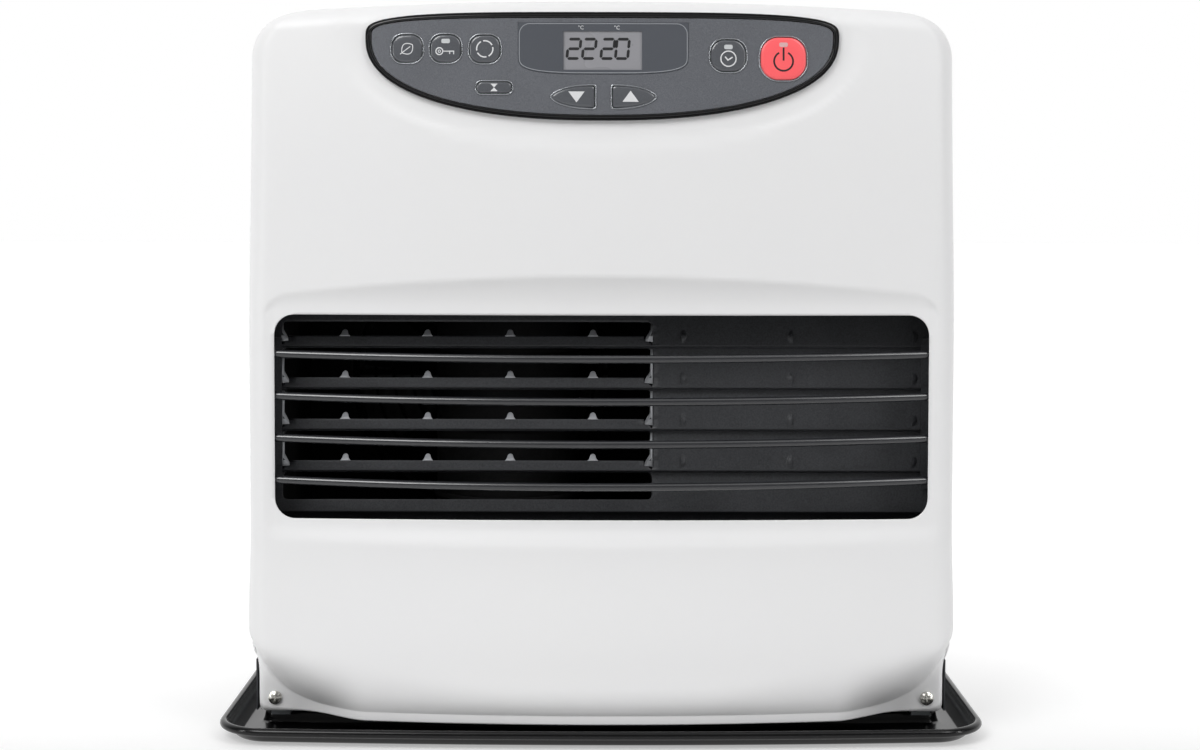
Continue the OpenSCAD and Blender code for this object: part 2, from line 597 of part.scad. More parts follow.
// Keys: x, z, kind (0 round-cornered, 1 pill, 2 leaf to the left, 3 leaf to the right), width, height, radius
key_save_at = [-113, panel_mid_z - 6.3, 0, key_w, key_w * 0.9, 6.4];
key_lock_at = [-90.6, panel_mid_z - 6.3, 0, key_w, key_w * 0.9, 6.4];
key_clean_at = [-67.9, panel_mid_z - 6.6, 0, key_w, key_w * 0.9, 6.4];
key_three_hour_at = [-62.5, panel_mid_z - 28.9, 1, 20.2, 6.4, 2.8];
key_down_at = [-16.8, panel_mid_z - 34.2, 2, 24.6, 12.4, 2];
key_up_at = [18.2, panel_mid_z - 34.2, 3, 24.6, 12.4, 2];
key_timer_at = [72.8, panel_mid_z - 10.2, 0, key_w * 1.15, key_w * 1.03, 7.6];
key_power_at = [104.8, panel_mid_z - 11.7, 0, key_w * 1.5, key_w * 1.39, 10.2];
keys = [key_save_at, key_lock_at, key_clean_at, key_three_hour_at, key_down_at, key_up_at, key_timer_at,
    key_power_at];
module key_2d(k, d) {
    if (k[2] < 2) round_2d(k[3] + 2 * d, k[4] + 2 * d, k[5] + d);
    else leaf_2d(d, k[2] == 2 ? -1 : 1);
}
// A key: cap through the fascia, retaining flange behind it and the stem over its switch
module push_key(k, lamp = 0) {
    bevel = 0.5;
    top = fascia_face + 0.7;
    flange = fascia_back - fit;
    stem_end = switch_top + key_travel + 0.2;
    on_panel(k[0], k[1]) difference() {
        union() {
            translate([0, 0, flange - 1]) linear_extrude(top - bevel - flange + 1) key_2d(k, 0);
            translate([0, 0, top - bevel - eps]) linear_extrude(bevel + eps) key_2d(k, -bevel);
            translate([0, 0, flange - 1]) linear_extrude(1) key_2d(k, 0.8);
            translate([0, 0, stem_end]) cylinder(r = 1.6, h = flange - stem_end);
        }
        if (lamp != 0) translate([0, lamp, top - lamp_h + 0.1]) linear_extrude(2)
            round_2d(lamp_w + 0.2, lamp_d + 0.2, 1);
    }
}
switch_top = -4;
lamp_w = 5;
lamp_d = 2.6;
lamp_h = 1;
lamp_rise = [4.3, 5, 8];
module key_lamp(k, rise) {
    on_panel(k[0], k[1]) translate([0, rise, fascia_face + 0.8 - lamp_h]) linear_extrude(lamp_h)
        round_2d(lamp_w, lamp_d, 1);
}

module panel_bezel() {
    color("#151517") {
        panel_slab(fascia_back, 2.3) difference() {
            polygon(panel_ring(0.7));
            polygon(panel_ring(bezel_band - 0.5));
        }
        panel_slab(fascia_back, fascia_face) difference() {
            polygon(panel_ring(0));
            polygon(panel_ring(bezel_band));
        }
    }
}
// Display shield: straight top and sides with a shallow arc below
shield_hw = 49.4;
shield_top = panel_mid_z + 9;
shield_side = panel_mid_z - 10.5;
shield_low = panel_mid_z - 21.2;
function shield_ring(d) = concat(
    [for (i = [0:24]) let (a = 180 + i * 7.5, c = cos(a), s = sin(a)) [0.5 + (shield_hw - d) * sign(c)
        * pow(abs(c), 2 / 3.5), shield_side - (shield_side - shield_low - d) * pow(abs(s), 2 / 3.5)]],
    [[0.5 + shield_hw - d, shield_top - d], [0.5 - shield_hw + d, shield_top - d]]);
lcd_w = 45.4;
lcd_h = 22.4;
lcd_at = [0.2, panel_mid_z - 7.4];
module control_fascia() {
    color("#6f7276") difference() {
        union() {
            panel_slab(fascia_back, fascia_face) polygon(panel_ring(bezel_band + 0.15));
            for (at = [[-100, 20], [88, 20], [-40, 29], [45, 29]]) let (sag = pow(at[0], 2) / (2 * bow_r))
                on_panel(at[0], panel_mid_z - at[1]) translate([0, 0, board_face + sag])
                cylinder(r = 3, h = 1.2 - board_face - sag);
        }
        for (k = keys) on_panel(k[0], k[1]) translate([0, 0, -0.5]) linear_extrude(5) key_2d(k, key_gap);
        panel_slab(fascia_face - 0.8, 4) polygon(shield_ring(0));
        on_panel(lcd_at[0], lcd_at[1]) translate([0, 0, -1]) linear_extrude(6)
            square([lcd_w, lcd_h], center = true);
    }
}
module display_lens() {
    color("#84888c") panel_slab(fascia_face - 0.8, fascia_face + 0.1) polygon(shield_ring(0.2));
}
module lcd_module() {
    color("#9aa0a0") on_panel(lcd_at[0], lcd_at[1]) {
        translate([0, 0, -2.2]) linear_extrude(2.6) square([lcd_w + 6, lcd_h + 1], center = true);
        translate([0, 0, 0.3]) linear_extrude(0.5) square([lcd_w - 0.6, lcd_h - 0.6], center = true);
    }
}
module on_board() {
    translate([0, panel_y(0, panel_low_z), panel_low_z]) rotate([90 - panel_lean, 0, 0])
        translate([0, 0, board_face]) children();
}
board_w = panel_w - 35;
board_h = panel_up + panel_down - 13.8;
board_t = 1.6;
module control_board() {
    color("#2f6b45") {
        on_board() translate([-board_w / 2, 5, -board_t]) cube([board_w, board_h, board_t]);
        for (k = keys) on_panel(k[0], k[1]) {
            deep = switch_top - board_face - pow(k[0], 2) / (2 * bow_r) + 0.4;
            translate([0, 0, switch_top - deep]) linear_extrude(deep - 1.2) square(6, center = true);
            translate([0, 0, switch_top - 1.3]) cylinder(r = 1.7, h = 1.3);
        }
        for (s = [-1, 1]) on_panel(lcd_at[0] + s * (lcd_w / 2 + 1), lcd_at[1])
            translate([0, 0, board_face - 0.3]) linear_extrude(-board_face - 2.2)
            square([2, 16], center = true);
    }
}
module key_save() { color("#77797d") push_key(key_save_at); }
module key_lock() { color("#77797d") push_key(key_lock_at, lamp_rise[0]); }
module key_clean() { color("#77797d") push_key(key_clean_at); }
module key_three_hour() { color("#77797d") push_key(key_three_hour_at); }
module key_down() { color("#77797d") push_key(key_down_at); }
module key_up() { color("#77797d") push_key(key_up_at); }
module key_timer() { color("#77797d") push_key(key_timer_at, lamp_rise[1]); }
module key_power() { color("#ff6b70") push_key(key_power_at, lamp_rise[2]); }
module lamp_lock() { color("#d8dada") key_lamp(key_lock_at, lamp_rise[0]); }
module lamp_timer() { color("#d8dada") key_lamp(key_timer_at, lamp_rise[1]); }
module lamp_power() { color("#f0b0b0") key_lamp(key_power_at, lamp_rise[2]); }

// Fuel tank, standing on the collar of the sump with its cap in the strainer
tank_cx = bay_x + 83;
tank_cy = bay_front_y + 2.5 + tank_d / 2;
sump_top = 56;
collar_z = sump_top + 4;
tank_z = collar_z + fit;
tank_top = cabinet_top - tank_headroom;
tank_h = tank_top - tank_z;
neck_r = 20;
neck_h = 14;
cap_r = neck_r + 5;
cap_h = 22;
well_r = cap_r + 4;
bail_x = 40;
bail_wire_r = 2;
bail_z = tank_top + 2.6;
module tank_2d(d) {
    round_2d(tank_w - 2 * d, tank_d - 2 * d, 14 - d);
}
module fuel_tank() {
    wall = 0.8;
    color("#a9adb0") difference() {
        union() {
            translate([tank_cx, tank_cy, tank_z]) {
                linear_extrude(tank_h) tank_2d(1);
                // Rolled seams at both ends and two stiffening beads between them
                for (z = [0, tank_h - 4]) translate([0, 0, z]) linear_extrude(4) tank_2d(0);
                for (z = [tank_h / 3, tank_h * 2 / 3]) translate([0, 0, z]) linear_extrude(6) tank_2d(0.4);
                translate([0, 0, -neck_h]) cylinder(r = neck_r, h = neck_h + 1);
            }
            for (s = [-1, 1]) translate([tank_cx + s * (bail_x + 1.3) - 1.5, tank_cy - 4, tank_top - 1])
                cube([3, 8, 7.5]);
        }
        translate([tank_cx, tank_cy, tank_z]) {
            translate([0, 0, wall]) linear_extrude(tank_h - 2 * wall) tank_2d(1 + wall);
            translate([0, 0, -neck_h - 1]) cylinder(r = neck_r - 2, h = neck_h + 10);
        }
        translate([tank_cx - 80, tank_cy, bail_z]) rotate([0, 90, 0]) cylinder(r = bail_wire_r + 0.05, h = 160);
    }
}
module tank_handle() {
    color("#2a2b2d") translate([tank_cx, tank_cy, bail_z]) {
        for (s = [-1, 1]) {
            translate([s * (bail_x - 4), 0, 0]) rotate([0, s * 90, 0]) cylinder(r = bail_wire_r, h = 8);
            translate([s * (bail_x - 4), 0, 0]) rotate([90, 0, 0]) cylinder(r = bail_wire_r, h = bail_r);
            translate([s * (bail_x - 4), 0, 0]) sphere(bail_wire_r);
            translate([s * (bail_x - 4), -bail_r, 0]) sphere(bail_wire_r);
        }
        translate([4 - bail_x, -bail_r, 0]) rotate([0, 90, 0]) cylinder(r = bail_wire_r, h = 2 * bail_x - 8);
    }
}
module tank_cap() {
    color("#d7c9a0") translate([tank_cx, tank_cy, tank_z - cap_h]) difference() {
        union() {
            cylinder(r = cap_r - 1, h = cap_h - fit);
            for (a = [0:15:345]) rotate(a) translate([cap_r - 1, 0, 0])
                cylinder(r = 1, h = cap_h - fit, $fn = 16);
        }
        translate([0, 0, 4]) cylinder(r = neck_r + fit, h = cap_h);
        translate([0, 0, -1]) cylinder(r = 4, h = 10);
    }
}
module fuel_gauge() {
    color("#e3e3df") translate([tank_cx + 48, tank_cy + 44, tank_top]) difference() {
        cylinder(r = 13, h = 3);
        translate([0, 0, 2]) cylinder(r = 11, h = 2);
        translate([-14, -1, 2.4]) cube([28, 2, 1]);
    }
}
module sump_tank() {
    lo = [bay_x + 7, bay_front_y, pan_z + sheet];
    color("#8f9496") difference() {
        union() {
            translate([(lo[0] + 202) / 2, (lo[1] + 117) / 2, lo[2]]) linear_extrude(sump_top - lo[2] - 3)
                round_2d(202 - lo[0], 117 - lo[1], 10);
            translate([(lo[0] + 202) / 2, (lo[1] + 117) / 2, sump_top - 3]) linear_extrude(3)
                round_2d(204 - lo[0], 119 - lo[1], 11);
            translate([tank_cx, tank_cy, sump_top - 1]) cylinder(r = well_r + 6, h = collar_z - sump_top + 1);
        }
        translate([tank_cx, tank_cy, 18]) cylinder(r = well_r, h = 100);
        translate([tank_cx, tank_cy, sump_top - 4]) cylinder(r = well_r + 2, h = 100);
    }
}
module strainer() {
    color("#c8b45a") translate([tank_cx, tank_cy, 0]) difference() {
        union() {
            translate([0, 0, sump_top - 4]) cylinder(r = well_r + 2 - fit, h = 1.2);
            translate([0, 0, 20]) cylinder(r = well_r - fit, h = sump_top - 23.5);
        }
        translate([0, 0, 21]) cylinder(r = well_r - fit - 1.2, h = 60);
        for (a = [0:45:315]) rotate(a) translate([well_r - 3, -5, 26]) cube([6, 10, 20]);
    }
}
pump_x = bay_x + 32;
module fuel_pump() {
    color("#9a9ea1") translate([pump_x, pipe_y, sump_top]) {
        cylinder(r = 9, h = 4);
        translate([0, 0, 4]) cylinder(r = 11, h = 34);
        translate([0, 0, 38]) cylinder(r = 7, h = 6);
        translate([-8, 0, pipe_z - sump_top]) rotate([0, -90, 0]) cylinder(r = 4, h = 6);
    }
}
burner_x = -60;
burner_y = -20;
pot_r = 48;
pot_z = 58;
duct_z = 100;
duct_top = 290;
pipe_in_x = burner_x + pot_r + 14;
module fuel_pipe() {
    r = 2.5;
    color("#b8793f") {
        translate([pump_x - 14, pipe_y, pipe_z]) rotate([0, -90, 0])
            cylinder(r = r, h = pump_x - 14 - pipe_in_x);
        translate([pipe_in_x, pipe_y, pipe_z]) sphere(r);
        translate([pipe_in_x, pipe_y, pipe_z]) rotate([90, 0, 0]) cylinder(r = r, h = pipe_y - burner_y);
        translate([pipe_in_x, burner_y, pipe_z]) sphere(r);
        translate([pipe_in_x, burner_y, pipe_z]) rotate([0, -90, 0]) cylinder(r = r, h = 26);
    }
}

// Burner: pot with its ring, fed with air by the blower's casing beneath it
module burner_pot() {
    color("#6a6259") difference() {
        union() {
            translate([burner_x, burner_y, pot_z]) cylinder(r = pot_r, h = duct_z - pot_z - fit);
            translate([burner_x, burner_y, duct_z - 2]) cylinder(r = pot_r + 6, h = 2 - fit);
        }
        translate([burner_x, burner_y, pot_z + 2]) cylinder(r = pot_r - 1.5, h = 100);
        translate([burner_x, burner_y, pipe_z]) rotate([0, 90, 0]) cylinder(r = 2.55, h = 100);
        translate([burner_x, burner_y, igniter_z]) rotate([-90, 0, 0]) cylinder(r = 4.05, h = 100);
        translate([burner_x, burner_y, flame_z]) rotate([0, -90, 0]) cylinder(r = 1.55, h = 100);
        for (a = [30:60:330], r = [14, 24]) translate([burner_x, burner_y, 0]) rotate(a) translate([r, 0, 0])
            cylinder(r = 2, h = 80);
    }
}
igniter_z = 84;
flame_z = 91;
module burner_ring() {
    color("#87796a") translate([burner_x, burner_y, pot_z + 2]) difference() {
        union() {
            cylinder(r = 8, h = 12);
            translate([0, 0, 12]) cylinder(r = 30, h = 3);
            translate([0, 0, 15]) difference() {
                cylinder(r = 30, h = 5);
                translate([0, 0, -1]) cylinder(r = 28, h = 8);
            }
        }
        for (a = [0:30:330]) rotate(a) translate([21, 0, 0]) cylinder(r = 2, h = 40);
    }
}
module igniter() {
    color("#e8e4dc") translate([burner_x, burner_y, igniter_z]) rotate([-90, 0, 0]) {
        translate([0, 0, 34]) cylinder(r = 1.6, h = 10);
        translate([0, 0, 40]) cylinder(r = 4, h = 30);
        translate([0, 0, pot_r + 1]) cylinder(r = 7, h = 10);
    }
}
module flame_rod() {
    color("#e8e4dc") translate([burner_x, burner_y, flame_z]) {
        translate([-36, 0, 0]) rotate([0, -90, 0]) cylinder(r = 1.5, h = 30);
        translate([-36, 0, 0]) sphere(1.5);
        translate([-36, 0, 0]) cylinder(r = 1.5, h = 34);
        translate([-pot_r - 1, 0, 0]) rotate([0, -90, 0]) cylinder(r = 3.5, h = 9);
    }
}
module combustion_chamber() {
    r = chamber_d / 2;
    h = 150;
    color("#232325") translate([burner_x, burner_y, duct_z + sheet]) difference() {
        union() {
            cylinder(r = pot_r + 6, h = 1.5);
            cylinder(r = r, h = h);
            for (z = [30, 75, 120]) translate([0, 0, z]) rotate_extrude() translate([r, 0]) circle(2);
        }
        translate([0, 0, -1]) cylinder(r = r - 1.2, h = h - 0.5);
        for (a = [0:30:330]) rotate(a) translate([r * 0.62, 0, h - 10]) cylinder(r = 5, h = 20);
    }
}
duct_lo = [-200, -103, duct_z];
duct_hi = [bay_x - 4, 61, duct_top];
module hot_air_duct() {
    color("#1e1e20") difference() {
        box(duct_lo, duct_hi);
        box([duct_lo[0] + sheet, -200, duct_lo[2] + sheet], [duct_hi[0] - sheet, 200, duct_hi[2] - sheet]);
        translate([burner_x, burner_y, duct_z - 1]) cylinder(r = chamber_d / 2 - 2, h = 3);
    }
}

// Combustion air blower: one casting with the air box that stands under the pot
blower_x = -150;
blower_z = pan_z + sheet;
blower_r = 34;
wheel_r = 28;
module air_blower() {
    color("#9b9fa2") difference() {
        union() {
            translate([blower_x, burner_y, blower_z]) cylinder(r = blower_r, h = 34);
            translate([burner_x, burner_y, blower_z]) cylinder(r = pot_r - 4, h = pot_z - blower_z - fit);
            box([blower_x, burner_y - blower_r, blower_z], [burner_x, burner_y - 8, blower_z + 30]);
        }
        translate([blower_x, burner_y, blower_z + 3]) cylinder(r = wheel_r + 3, h = 60);
        translate([blower_x, burner_y, 0]) cylinder(r = 14, h = 40);
    }
}
module blower_wheel() {
    h = 22;
    color("#3c3d40") translate([blower_x, burner_y, blower_z + 6]) difference() {
        union() {
            translate([0, 0, h - 2]) cylinder(r = wheel_r, h = 2);
            translate([0, 0, 6]) cylinder(r = 5, h = h - 6);
            for (a = [0:20:340]) rotate(a) translate([wheel_r - 7, -0.6, 0]) rotate(20) cube([6, 1.2, h - 1]);
            difference() {
                cylinder(r = wheel_r, h = 1.5);
                translate([0, 0, -1]) cylinder(r = wheel_r - 8, h = 4);
            }
        }
        cylinder(r = 2.05, h = 60);
    }
}
module blower_motor() {
    z = blower_z + 34;
    color("#5c6063") translate([blower_x, burner_y, z]) {
        cylinder(r = blower_r, h = 2);
        translate([0, 0, 2]) cylinder(r = 20, h = 34);
        translate([0, 0, 36]) cylinder(r = 8, h = 4);
        translate([0, 0, -20]) cylinder(r = 2, h = 21);
    }
}

// Room fan behind the duct, its motor carried by the guard on the rear panel
shroud_y = 62;
fan_y = 84;
guard_y = rear_y - 4;
motor_l = 18;
module on_fan(y) {
    translate([fan_x, y, fan_z]) rotate([-90, 0, 0]) children();
}
module fan_shroud() {
    r = fan_d / 2 + 3;
    color("#1e1e20") difference() {
        union() {
            box([duct_lo[0], shroud_y - sheet, duct_lo[2]], [duct_hi[0], shroud_y, duct_hi[2]]);
            on_fan(shroud_y - sheet) cylinder(r = r + 1.2, h = 24);
            // Foot flange down to the pan
            box([duct_lo[0], shroud_y - sheet, pan_z + sheet], [burner_x - 70, shroud_y, duct_lo[2] + 1]);
        }
        on_fan(shroud_y - 10) cylinder(r = r, h = 60);
    }
}
module fan_blade() {
    hub_r = 20;
    blade_h = 20;
    color("#2a2b2d") on_fan(fan_y - 12) difference() {
        union() {
            cylinder(r = hub_r, h = 22);
            for (i = [0:fan_blades - 1]) rotate(i * 360 / fan_blades) translate([0, 0, 1])
                linear_extrude(height = blade_h, twist = 30, slices = 5) polygon([[hub_r - 3, -0.8],
                    [fan_d / 2 - 4, -0.8], [fan_d / 2 - 1, -0.5], [fan_d / 2 - 1, 0.5], [fan_d / 2 - 4, 0.8],
                    [hub_r - 3, 0.8]]);
        }
        translate([0, 0, -1]) cylinder(r = 3.05, h = 40);
        translate([0, 0, -1]) cylinder(r = hub_r - 3, h = 12);
    }
}
module fan_motor() {
    color("#2a2b2d") {
        on_fan(guard_y - motor_l) cylinder(r = 26, h = motor_l);
        on_fan(fan_y - 4) cylinder(r = 3, h = guard_y - fan_y);
    }
}
module fan_guard() {
    color("#2a2b2d") on_fan(guard_y) difference() {
        union() {
            cylinder(r = 27, h = 2.4);
            for (r = [40:13:intake_r - 8]) translate([0, 0, 0.6]) difference() {
                cylinder(r = r + 1, h = 1);
                translate([0, 0, -1]) cylinder(r = r - 1, h = 4);
            }
            for (a = [0:60:300]) rotate(a) translate([20, -1.5, 0.3]) cube([intake_r - 16, 3, 1.7]);
            difference() {
                cylinder(r = intake_r + 6, h = 4);
                translate([0, 0, -1]) cylinder(r = intake_r - 1, h = 6);
            }
        }
        translate([0, 0, -1]) cylinder(r = 3.5, h = 2);
    }
}
filter_hw = 100;
filter_z = fan_z - filter_hw;
filter_y = cabinet_back + 1.5;
filter_t = 5;
// The net lies in a rebate of the frame's inner face
gauze_t = 0.8;
gauze_y = filter_y + 0.2;
module filter_frame() {
    rim = 7;
    rib = 2;
    window = filter_hw - rim - rib;
    top = filter_z + 2 * filter_hw;
    color("#3a3b3e") {
        difference() {
            box([fan_x - filter_hw, filter_y, filter_z], [fan_x + filter_hw, filter_y + filter_t, top]);
            for (x = [rim - filter_hw, rib], z = [rim - filter_hw, rib]) translate([fan_x + x, 0, fan_z + z])
                box([0, 100, 0], [window, 200, window]);
            translate([fan_x, 0, fan_z]) box([4 - filter_hw, 100, 4 - filter_hw],
                [filter_hw - 4, gauze_y + gauze_t, filter_hw - 4]);
        }
        box([fan_x - 20, filter_y, top - 1], [fan_x + 20, filter_y + filter_t, top + 8]);
    }
}
module filter_gauze() {
    half = filter_hw - 4 - fit;
    color("#1c1d1f") translate([fan_x, gauze_y, fan_z])
        box([-half, 0, -half], [half, gauze_t, half]);
}
module filter_rails() {
    x = filter_hw + fit;
    face = filter_y + filter_t + fit;
    low = filter_z - 3;
    high = filter_z + 190;
    color("#3a3b3e") {
        for (s = [0, 1]) translate([fan_x, 0, 0]) mirror([s, 0, 0]) {
            box([x, cabinet_back, low], [x + 2, face - fit + 2, high]);
            box([x - 4, face, low], [x + 2, face - fit + 2, high]);
        }
        box([fan_x - x - 2, cabinet_back, low], [fan_x + x + 2, filter_y + filter_t, filter_z - fit]);
    }
}

// Electrical pieces
power_w = 64;
power_d = 56;
module power_board() {
    post_h = 5.2;
    top = sheet + post_h + board_t - 0.2;
    translate([bay_x - 14 - power_w, 66, pan_z]) {
        color("#3b6e4e") {
            translate([0, 0, top - board_t]) cube([power_w, power_d, board_t]);
            for (x = [4, power_w - 4], y = [4, power_d - 4]) translate([x, y, sheet])
                cylinder(r = 2.5, h = post_h);
        }
        color("#4a4440") {
            translate([6, 8, top]) cube([power_w / 2, power_d * 0.54, 28.4]);
            for (x = [46, 57]) translate([x, 18, top]) cylinder(r = 5, h = 22);
        }
    }
}
module tilt_switch() {
    color("#d9d9d4") translate([18 - cab_hw, 84, pan_z + sheet]) {
        cube([26, 26, 25]);
        translate([13, 13, 25 - eps]) cylinder(r = 9, h = 6);
    }
}
module room_sensor() {
    color("#2a2b2d") translate([60, cabinet_back, 70]) {
        box([-8, 0, -6], [8, 2, 6]);
        translate([0, 6, 0]) sphere(3);
        rotate([-90, 0, 0]) cylinder(r = 1.6, h = 6);
    }
}
module cord_gland() {
    color("#1d1d1f") translate([gland_x, cabinet_back, gland_z]) rotate([-90, 0, 0]) difference() {
        union() {
            cylinder(r = gland_r + 4, h = 4);
            translate([0, 0, -9]) cylinder(r = gland_r, h = 10);
            translate([0, 0, 4]) cylinder(r1 = gland_r + 2, r2 = gland_r - 1, h = 8);
        }
        translate([0, 0, -20]) cylinder(r = 3.6, h = 60);
    }
}
case_screw_x = [-180, -60, 60, 180];
case_screw_z = pan_z + 8;
module case_screws() {
    color("#b9bbbd") for (x = case_screw_x) translate([x, cabinet_back, case_screw_z]) rotate([-90, 0, 0])
        difference() {
        union() {
            cylinder(r = 4, h = 1.4);
            translate([0, 0, 1.4]) cylinder(r1 = 4, r2 = 2.4, h = 1);
            translate([0, 0, -6]) cylinder(r = 1.95, h = 6.5);
        }
        for (a = [0, 90]) rotate(a) translate([-1.9, -0.45, 1.2]) cube([3.8, 0.9, 2]);
    }
}

base_tray();
front_cover();
cover_screws();
base_pan();
cabinet_wrap();
rear_panel();
tank_lid();
lid_hinge_pin();
lid_frame();
bay_wall();
louvre_plate();
outlet_slats();
guard_rods();
rod_brackets();
panel_bezel();
control_fascia();
display_lens();
lcd_module();
control_board();
key_save();
key_lock();
key_clean();
key_three_hour();
key_down();
key_up();
key_timer();
key_power();
lamp_lock();
lamp_timer();
lamp_power();
fuel_tank();
tank_handle();
tank_cap();
fuel_gauge();
sump_tank();
strainer();
fuel_pump();
fuel_pipe();
burner_pot();
burner_ring();
igniter();
flame_rod();
combustion_chamber();
hot_air_duct();
air_blower();
blower_wheel();
blower_motor();
fan_shroud();
fan_blade();
fan_motor();
fan_guard();
filter_frame();
filter_gauze();
filter_rails();
power_board();
tilt_switch();
room_sensor();
cord_gland();
case_screws();
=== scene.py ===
import json
import math
import bpy
import numpy as np
from mathutils import Matrix, Vector


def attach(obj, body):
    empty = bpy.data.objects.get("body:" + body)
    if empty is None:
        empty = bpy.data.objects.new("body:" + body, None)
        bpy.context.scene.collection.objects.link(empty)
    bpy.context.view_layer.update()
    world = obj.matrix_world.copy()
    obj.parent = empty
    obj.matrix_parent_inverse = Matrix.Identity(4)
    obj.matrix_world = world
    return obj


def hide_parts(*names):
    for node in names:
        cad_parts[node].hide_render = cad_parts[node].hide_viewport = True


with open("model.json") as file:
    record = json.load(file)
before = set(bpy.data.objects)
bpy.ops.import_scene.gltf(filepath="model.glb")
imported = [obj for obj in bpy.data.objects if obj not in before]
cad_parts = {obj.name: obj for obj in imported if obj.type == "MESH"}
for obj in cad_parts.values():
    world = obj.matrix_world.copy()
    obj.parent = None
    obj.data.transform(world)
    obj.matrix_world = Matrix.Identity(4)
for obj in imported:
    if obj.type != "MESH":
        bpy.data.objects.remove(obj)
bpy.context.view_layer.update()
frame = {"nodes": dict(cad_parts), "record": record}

nodes = frame["nodes"]
mm = 0.001

# Camera, light and floor
camera = dict(place=(-0.0034, -1.2855, 0.3186), pitch=2.618, yaw=-0.115, roll=0.11, lens=58.8, shiftY=-0.07)


def aimedCamera(s):
    # forward vector from pitch and yaw, then a small turn about it
    data = bpy.data.cameras.new("studioCamera")
    data.sensor_width = 36
    data.lens = s["lens"]
    data.shift_y = s["shiftY"]
    data.clip_start, data.clip_end = 0.05, 50
    obj = bpy.data.objects.new("studioCamera", data)
    bpy.context.scene.collection.objects.link(obj)
    turn = Matrix.Rotation(math.radians(s["yaw"]), 4, "Z") @ Matrix.Rotation(math.radians(90 - s["pitch"]), 4, "X")
    obj.matrix_world = Matrix.Translation(s["place"]) @ turn @ Matrix.Rotation(math.radians(s["roll"]), 4, "Z")
    bpy.context.scene.camera = obj


def softBox(name, place, target, size, power, tint=(1, 1, 1)):
    data = bpy.data.lights.new(name, "AREA")
    data.shape = "RECTANGLE"
    data.size, data.size_y = size
    data.energy = power
    data.color = tint
    obj = bpy.data.objects.new(name, data)
    bpy.context.scene.collection.objects.link(obj)
    obj.location = place
    obj.rotation_euler = (Vector(target) - Vector(place)).to_track_quat("-Z", "Y").to_euler()


def linearColor(hexText):
    # sRGB hex to linear light
    v = np.array([int(hexText[i:i + 2], 16) / 255 for i in (1, 3, 5)])
    return (*np.where(v <= 0.04045, v / 12.92, ((v + 0.055) / 1.055) ** 2.4).tolist(), 1.0)


def addNode(tree, kind, settings=None, links=None):
    # settings: attribute or input values; links: input -> (node, output)
    node = tree.nodes.new(kind)
    for key, value in (settings or {}).items():
        if isinstance(key, str) and hasattr(node, key) and key not in node.inputs:
            setattr(node, key, value)
        else:
            node.inputs[key].default_value = value
    for key, (source, output) in (links or {}).items():
        tree.links.new(source.outputs[output], node.inputs[key])
    return node


aimedCamera(camera)
studio = dict(white=1.0, dim=0.2, start=-0.1, end=0.75, boxes=(
    ("keyPanel", (-1.2, -1.7, 2.0), (0, -0.12, 0.25), (1.3, 1.3), 36),
    ("fillPanel", (1.5, -1.6, 1.9), (0, -0.1, 0.25), (0.8, 1.4), 16.5),
    ("topPanel", (0, -0.9, 2.1), (0, -0.1, 0.3), (2.2, 1.2), 7),
    ("leftStrip", (-1.7, -0.9, 0.45), (0, -0.13, 0.22), (0.16, 1.0), 5),
    ("rightStrip", (1.7, -0.9, 0.45), (0, -0.13, 0.22), (0.16, 1.0), 5)))


def paleStudio(s):
    # white paper behind the object, falling off smoothly to a dimmer room in front of it
    world = bpy.data.worlds.new("paleStudio")
    bpy.context.scene.world = world
    world.use_nodes = True
    tree = world.node_tree
    tree.nodes["Background"].inputs["Color"].default_value = linearColor("#ffffff")
    place = addNode(tree, "ShaderNodeTexCoord")
    axes = addNode(tree, "ShaderNodeSeparateXYZ", links={"Vector": (place, "Generated")})
    fall = addNode(tree, "ShaderNodeMapRange",
                   {"interpolation_type": "SMOOTHSTEP", "From Min": s["start"], "From Max": s["end"],
                    "To Min": s["dim"], "To Max": s["white"]}, {"Value": (axes, "Y")})
    tree.links.new(fall.outputs["Result"], tree.nodes["Background"].inputs["Strength"])
    for box in s["boxes"]:
        softBox(*box)
    bpy.context.scene.view_settings.view_transform = "Standard"


paleStudio(studio)
print("stage: camera and lights")


# Mesh helpers
def buildMesh(name, points, faces, material, body, slotName, replaced=(), sharp=None):
    # points in mm, faces as lists of indices
    mesh = bpy.data.meshes.new(name)
    mesh.from_pydata((np.asarray(points, float).reshape(-1, 3) * mm).tolist(), [], [list(f) for f in faces])
    mesh.validate()
    mesh.update()
    mesh.shade_smooth()
    if sharp:
        mesh.set_sharp_from_angle(angle=math.radians(sharp))
    obj = bpy.data.objects.new(name, mesh)
    bpy.context.scene.collection.objects.link(obj)
    mesh.materials.append(material)
    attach(obj, body)
    if replaced:
        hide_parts(*replaced)
    return obj


def gridFaces(rows, cols, loopCols=False, loopRows=False, first=0, flip=False):
    # quads of a rows x cols grid of points; a looped side joins its last line to its first
    r = np.arange(rows if loopRows else rows - 1)[:, None]
    c = np.arange(cols if loopCols else cols - 1)[None, :]
    a = r * cols + c
    b = r * cols + (c + 1) % cols
    d = ((r + 1) % rows) * cols + c
    e = ((r + 1) % rows) * cols + (c + 1) % cols
    quads = np.stack([a, b, e, d], -1).reshape(-1, 4) + first
    return quads[:, ::-1] if flip else quads


def thicken(obj, thickness, offset=-1):
    # sheet of given thickness in metres, grown inwards at -1 and to both sides at 0
    wall = obj.modifiers.new("sheetThickness", "SOLIDIFY")
    wall.thickness = thickness
    wall.offset = offset


def clamp01(v):
    return np.clip(v, 0, 1)


def ease(a, b, v):
    # smooth step from 0 at a to 1 at b
    t = clamp01((v - a) / (b - a))
    return t * t * (3 - 2 * t)


def mix(a, b, t):
    return a + (b - a) * t


